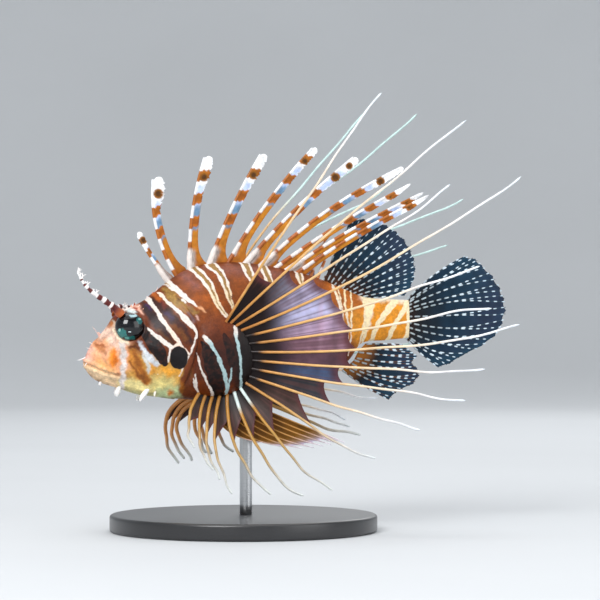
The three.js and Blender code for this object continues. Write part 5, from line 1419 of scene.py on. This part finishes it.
def base_finish():
    """Satin black lacquer sprayed on board: a broad dull gleam and a faint orange-peel texture."""
    material, tree, shader = new_material("satin_black_lacquered_base")
    tree.links.new(mottled(tree, linear("#232325"), 16, 0.9, 1.1), shader.inputs["Base Color"])
    grainy(tree, shader, 0.7, 0.05, 0.2)
    finish_of(shader, Roughness=0.38, Coat_Weight=0.4, Coat_Roughness=0.25)
    return material


def rod_finish():
    """Brushed steel: fine scratches round the rod, which spread the light into a soft band.

    Real scratches are about 0.05 mm apart. They are drawn 0.2 mm apart, so that they show.
    """
    material, tree, shader = new_material("brushed_steel_rod")
    place_of = add(tree, "ShaderNodeTexCoord").outputs["Object"]
    across, along = 1 / (11 * MM), 1 / (0.2 * MM)
    squashed = add(tree, "ShaderNodeMapping", {"Vector": place_of,
                                               "Scale": (across, across, along)})
    scratch = add(tree, "ShaderNodeTexNoise", {"Vector": squashed.outputs["Vector"], "Scale": 1.0,
                                               "Detail": 3.0}).outputs["Fac"]
    uneven = add(tree, "ShaderNodeMapRange", {"Value": scratch, "From Min": 0.3, "From Max": 0.7,
                                              "To Min": 0.26, "To Max": 0.34}).outputs["Result"]
    bright = add(tree, "ShaderNodeMix", {0: scratch, 6: rgba("#b0b2b4"), 7: rgba("#c6c8ca")},
                 data_type="RGBA").outputs[2]
    tree.links.new(uneven, shader.inputs["Roughness"])
    tree.links.new(bright, shader.inputs["Base Color"])
    finish_of(shader, Metallic=1.0)
    return material


def floor_finish():
    """Pale background paper: quite matt, with hardly any clouding."""
    material, tree, shader = new_material("plain_pale_studio_paper")
    tree.links.new(mottled(tree, linear("#c9cccf"), 330, 0.98, 1.02), shader.inputs["Base Color"])
    finish_of(shader, Roughness=0.9, Specular_IOR_Level=0.1)
    return material


# The studio, in metres
METRE = 1000.0
COVE = {"floor": 1.4, "bend": 1.1, "wall": 2.5, "top": 1.9, "sides": 96, "mm_under_stand": 0.05}
LAMP_TARGET = (0.01, 0, 0.09)
# Lamps as place, size and power in watts
LAMPS = {"key": ((-0.6, -0.95, 0.8), 0.6, 13.5), "fill": ((0.95, -0.9, 0.45), 0.9, 5),
         "top": ((0.1, 0.15, 1.25), 1.0, 6), "rim": ((0.5, 1.05, 0.8), 0.8, 4)}
# Lamps that wash the cove's wall, each 1 m out and aimed outwards and down
WALL_WASH = {"degrees": (80, 170, 260, 350), "height": 1.9, "outwards": 1.4, "down": 1.3,
             "size": 1.4, "power": 11}


def lamp(name, spot, direction, size, power):
    """A square lamp at spot, in metres, that shines in a direction."""
    light = bpy.data.lights.new(name, "AREA")
    light.size = size
    light.energy = power
    holder = on_stage(name, light)
    holder.location = spot
    holder.rotation_euler = direction.to_track_quat("-Z", "Y").to_euler()


def studio():
    """A round pale cove, open above, with soft lamps."""
    bend = [(COVE["floor"] + COVE["bend"] * math.sin(a), COVE["bend"] - COVE["bend"] * math.cos(a))
            for a in np.linspace(0, np.pi / 2, 24)]
    outline = [(0.001, 0), (0.2, 0), (0.7, 0), *bend, (COVE["wall"], COVE["top"])]
    profile = [(r * METRE, z * METRE - COVE["mm_under_stand"]) for r, z in outline]
    sides = COVE["sides"]
    faces = grid_faces(len(profile), sides, True)
    cove = mesh_object("studio_cove", circles(profile, sides), faces, floor_finish())
    world = bpy.data.worlds.new("pale_room")
    world.use_nodes = True
    background = world.node_tree.nodes["Background"].inputs
    background["Color"].default_value = rgba("#e4e8ec")
    background["Strength"].default_value = 0.3
    bpy.context.scene.world = world
    bpy.context.scene.view_settings.view_transform = "Standard"
    for name, (spot, size, power) in LAMPS.items():
        lamp(name, spot, Vector(LAMP_TARGET) - Vector(spot), size, power)
    for degrees in WALL_WASH["degrees"]:
        turn = math.radians(degrees)
        out = Vector((math.cos(turn), math.sin(turn), 0))
        direction = out * WALL_WASH["outwards"] - Vector((0, 0, WALL_WASH["down"]))
        lamp(f"wall_wash_{degrees}", out + Vector((0, 0, WALL_WASH["height"])), direction,
             WALL_WASH["size"], WALL_WASH["power"])


# The photograph's view: 10 degrees round from square on, 1.2 m away, 252 mm across
VIEW = {"turn": 10.0, "away": 1200.0, "x": 24.0, "z": 96.6, "across": 252.0}
SENSOR_WIDTH = 36


def museum_view():
    camera = bpy.data.cameras.new("museum_view")
    camera.sensor_width = SENSOR_WIDTH
    camera.lens = SENSOR_WIDTH * VIEW["away"] / VIEW["across"]
    camera.clip_end = 20
    holder = on_stage("museum_view", camera)
    turn = math.radians(VIEW["turn"])
    holder.location = Vector((VIEW["x"] - VIEW["away"] * math.sin(turn),
                              -VIEW["away"] * math.cos(turn), VIEW["z"])) * MM
    holder.rotation_euler = (math.pi / 2, 0, -turn)
    bpy.context.scene.camera = holder


museum_view()
# Varnished paint on cast resin: a wet gloss over mottled scales
place(body_skin(painted_skin()), "skin", "head", "torso", "tail_peduncle")
# Black glass: one clear spark of light over the teal patches
eyes(painted("black_glass_eye", 1.1, 0.9, 1.1, 0.0, Roughness=0.14, Specular_IOR_Level=0.35,
             Coat_Weight=0.5, Coat_Roughness=0.04))
# White rubber: soft, slightly translucent tassels, flaps and bristles
white_rubber = painted("white_rubber_trim", 1.7, 0.88, 1.05, 0.1, Roughness=0.5,
                       Subsurface_Weight=0.1, Specular_IOR_Level=0.4)
# Banded rubber: matt stalks of the tentacles
tentacles(painted("banded_rubber_tentacle", 2.0, 0.8, 1.2, 0.15, Roughness=0.5,
                  Specular_IOR_Level=0.35), white_rubber)
head_trim(white_rubber)
# Barred horn: round spines with a narrow streak of light, and matt painted film behind them
spiny_dorsal(painted("barred_horn_dorsal_spine", 2.4, 0.8, 1.12, 0.1, Roughness=0.4,
                     Specular_IOR_Level=0.35, Coat_Weight=0.15, Coat_Roughness=0.15),
             painted("painted_film_dorsal_skin", 2.4, 0.72, 1.25, 0.12, Roughness=0.5,
                     Specular_IOR_Level=0.25))
# Lacquer on soft rays, in pale dashes that stand out, and a dark film between them that lets
# very little light through. The pelvic fins have golden ones.
soft_fins(painted("dashed_lacquer_soft_ray", 2.0, 0.85, 1.1, 0.08, Roughness=0.4,
                  Specular_IOR_Level=0.35),
          painted("translucent_navy_fin_skin", 4.2, 0.75, 1.3, 0.1, True, Roughness=0.4,
                  Specular_IOR_Level=0.18),
          painted("lacquered_golden_pelvic_ray", 2.6, 0.82, 1.15, 0.1, Roughness=0.4,
                  Specular_IOR_Level=0.35),
          painted("translucent_golden_pelvic_skin", 3.8, 0.7, 1.3, 0.12, True, Roughness=0.45,
                  Specular_IOR_Level=0.2))
# Lacquered horn for the fan's rays, with a narrow gleam along each, and for its skin a cast
# film, cloudy and nearly opaque
pectoral_fins(painted("lacquered_horn_fan_ray", 3.3, 0.84, 1.1, 0.1, Roughness=0.36,
                      Specular_IOR_Level=0.4, Coat_Weight=0.2, Coat_Roughness=0.12),
              painted("translucent_cast_fan_skin", 4.3, 0.78, 1.22, 0.1, True, Roughness=0.42,
                      Specular_IOR_Level=0.2))
stand(base_finish(), rod_finish())
studio()
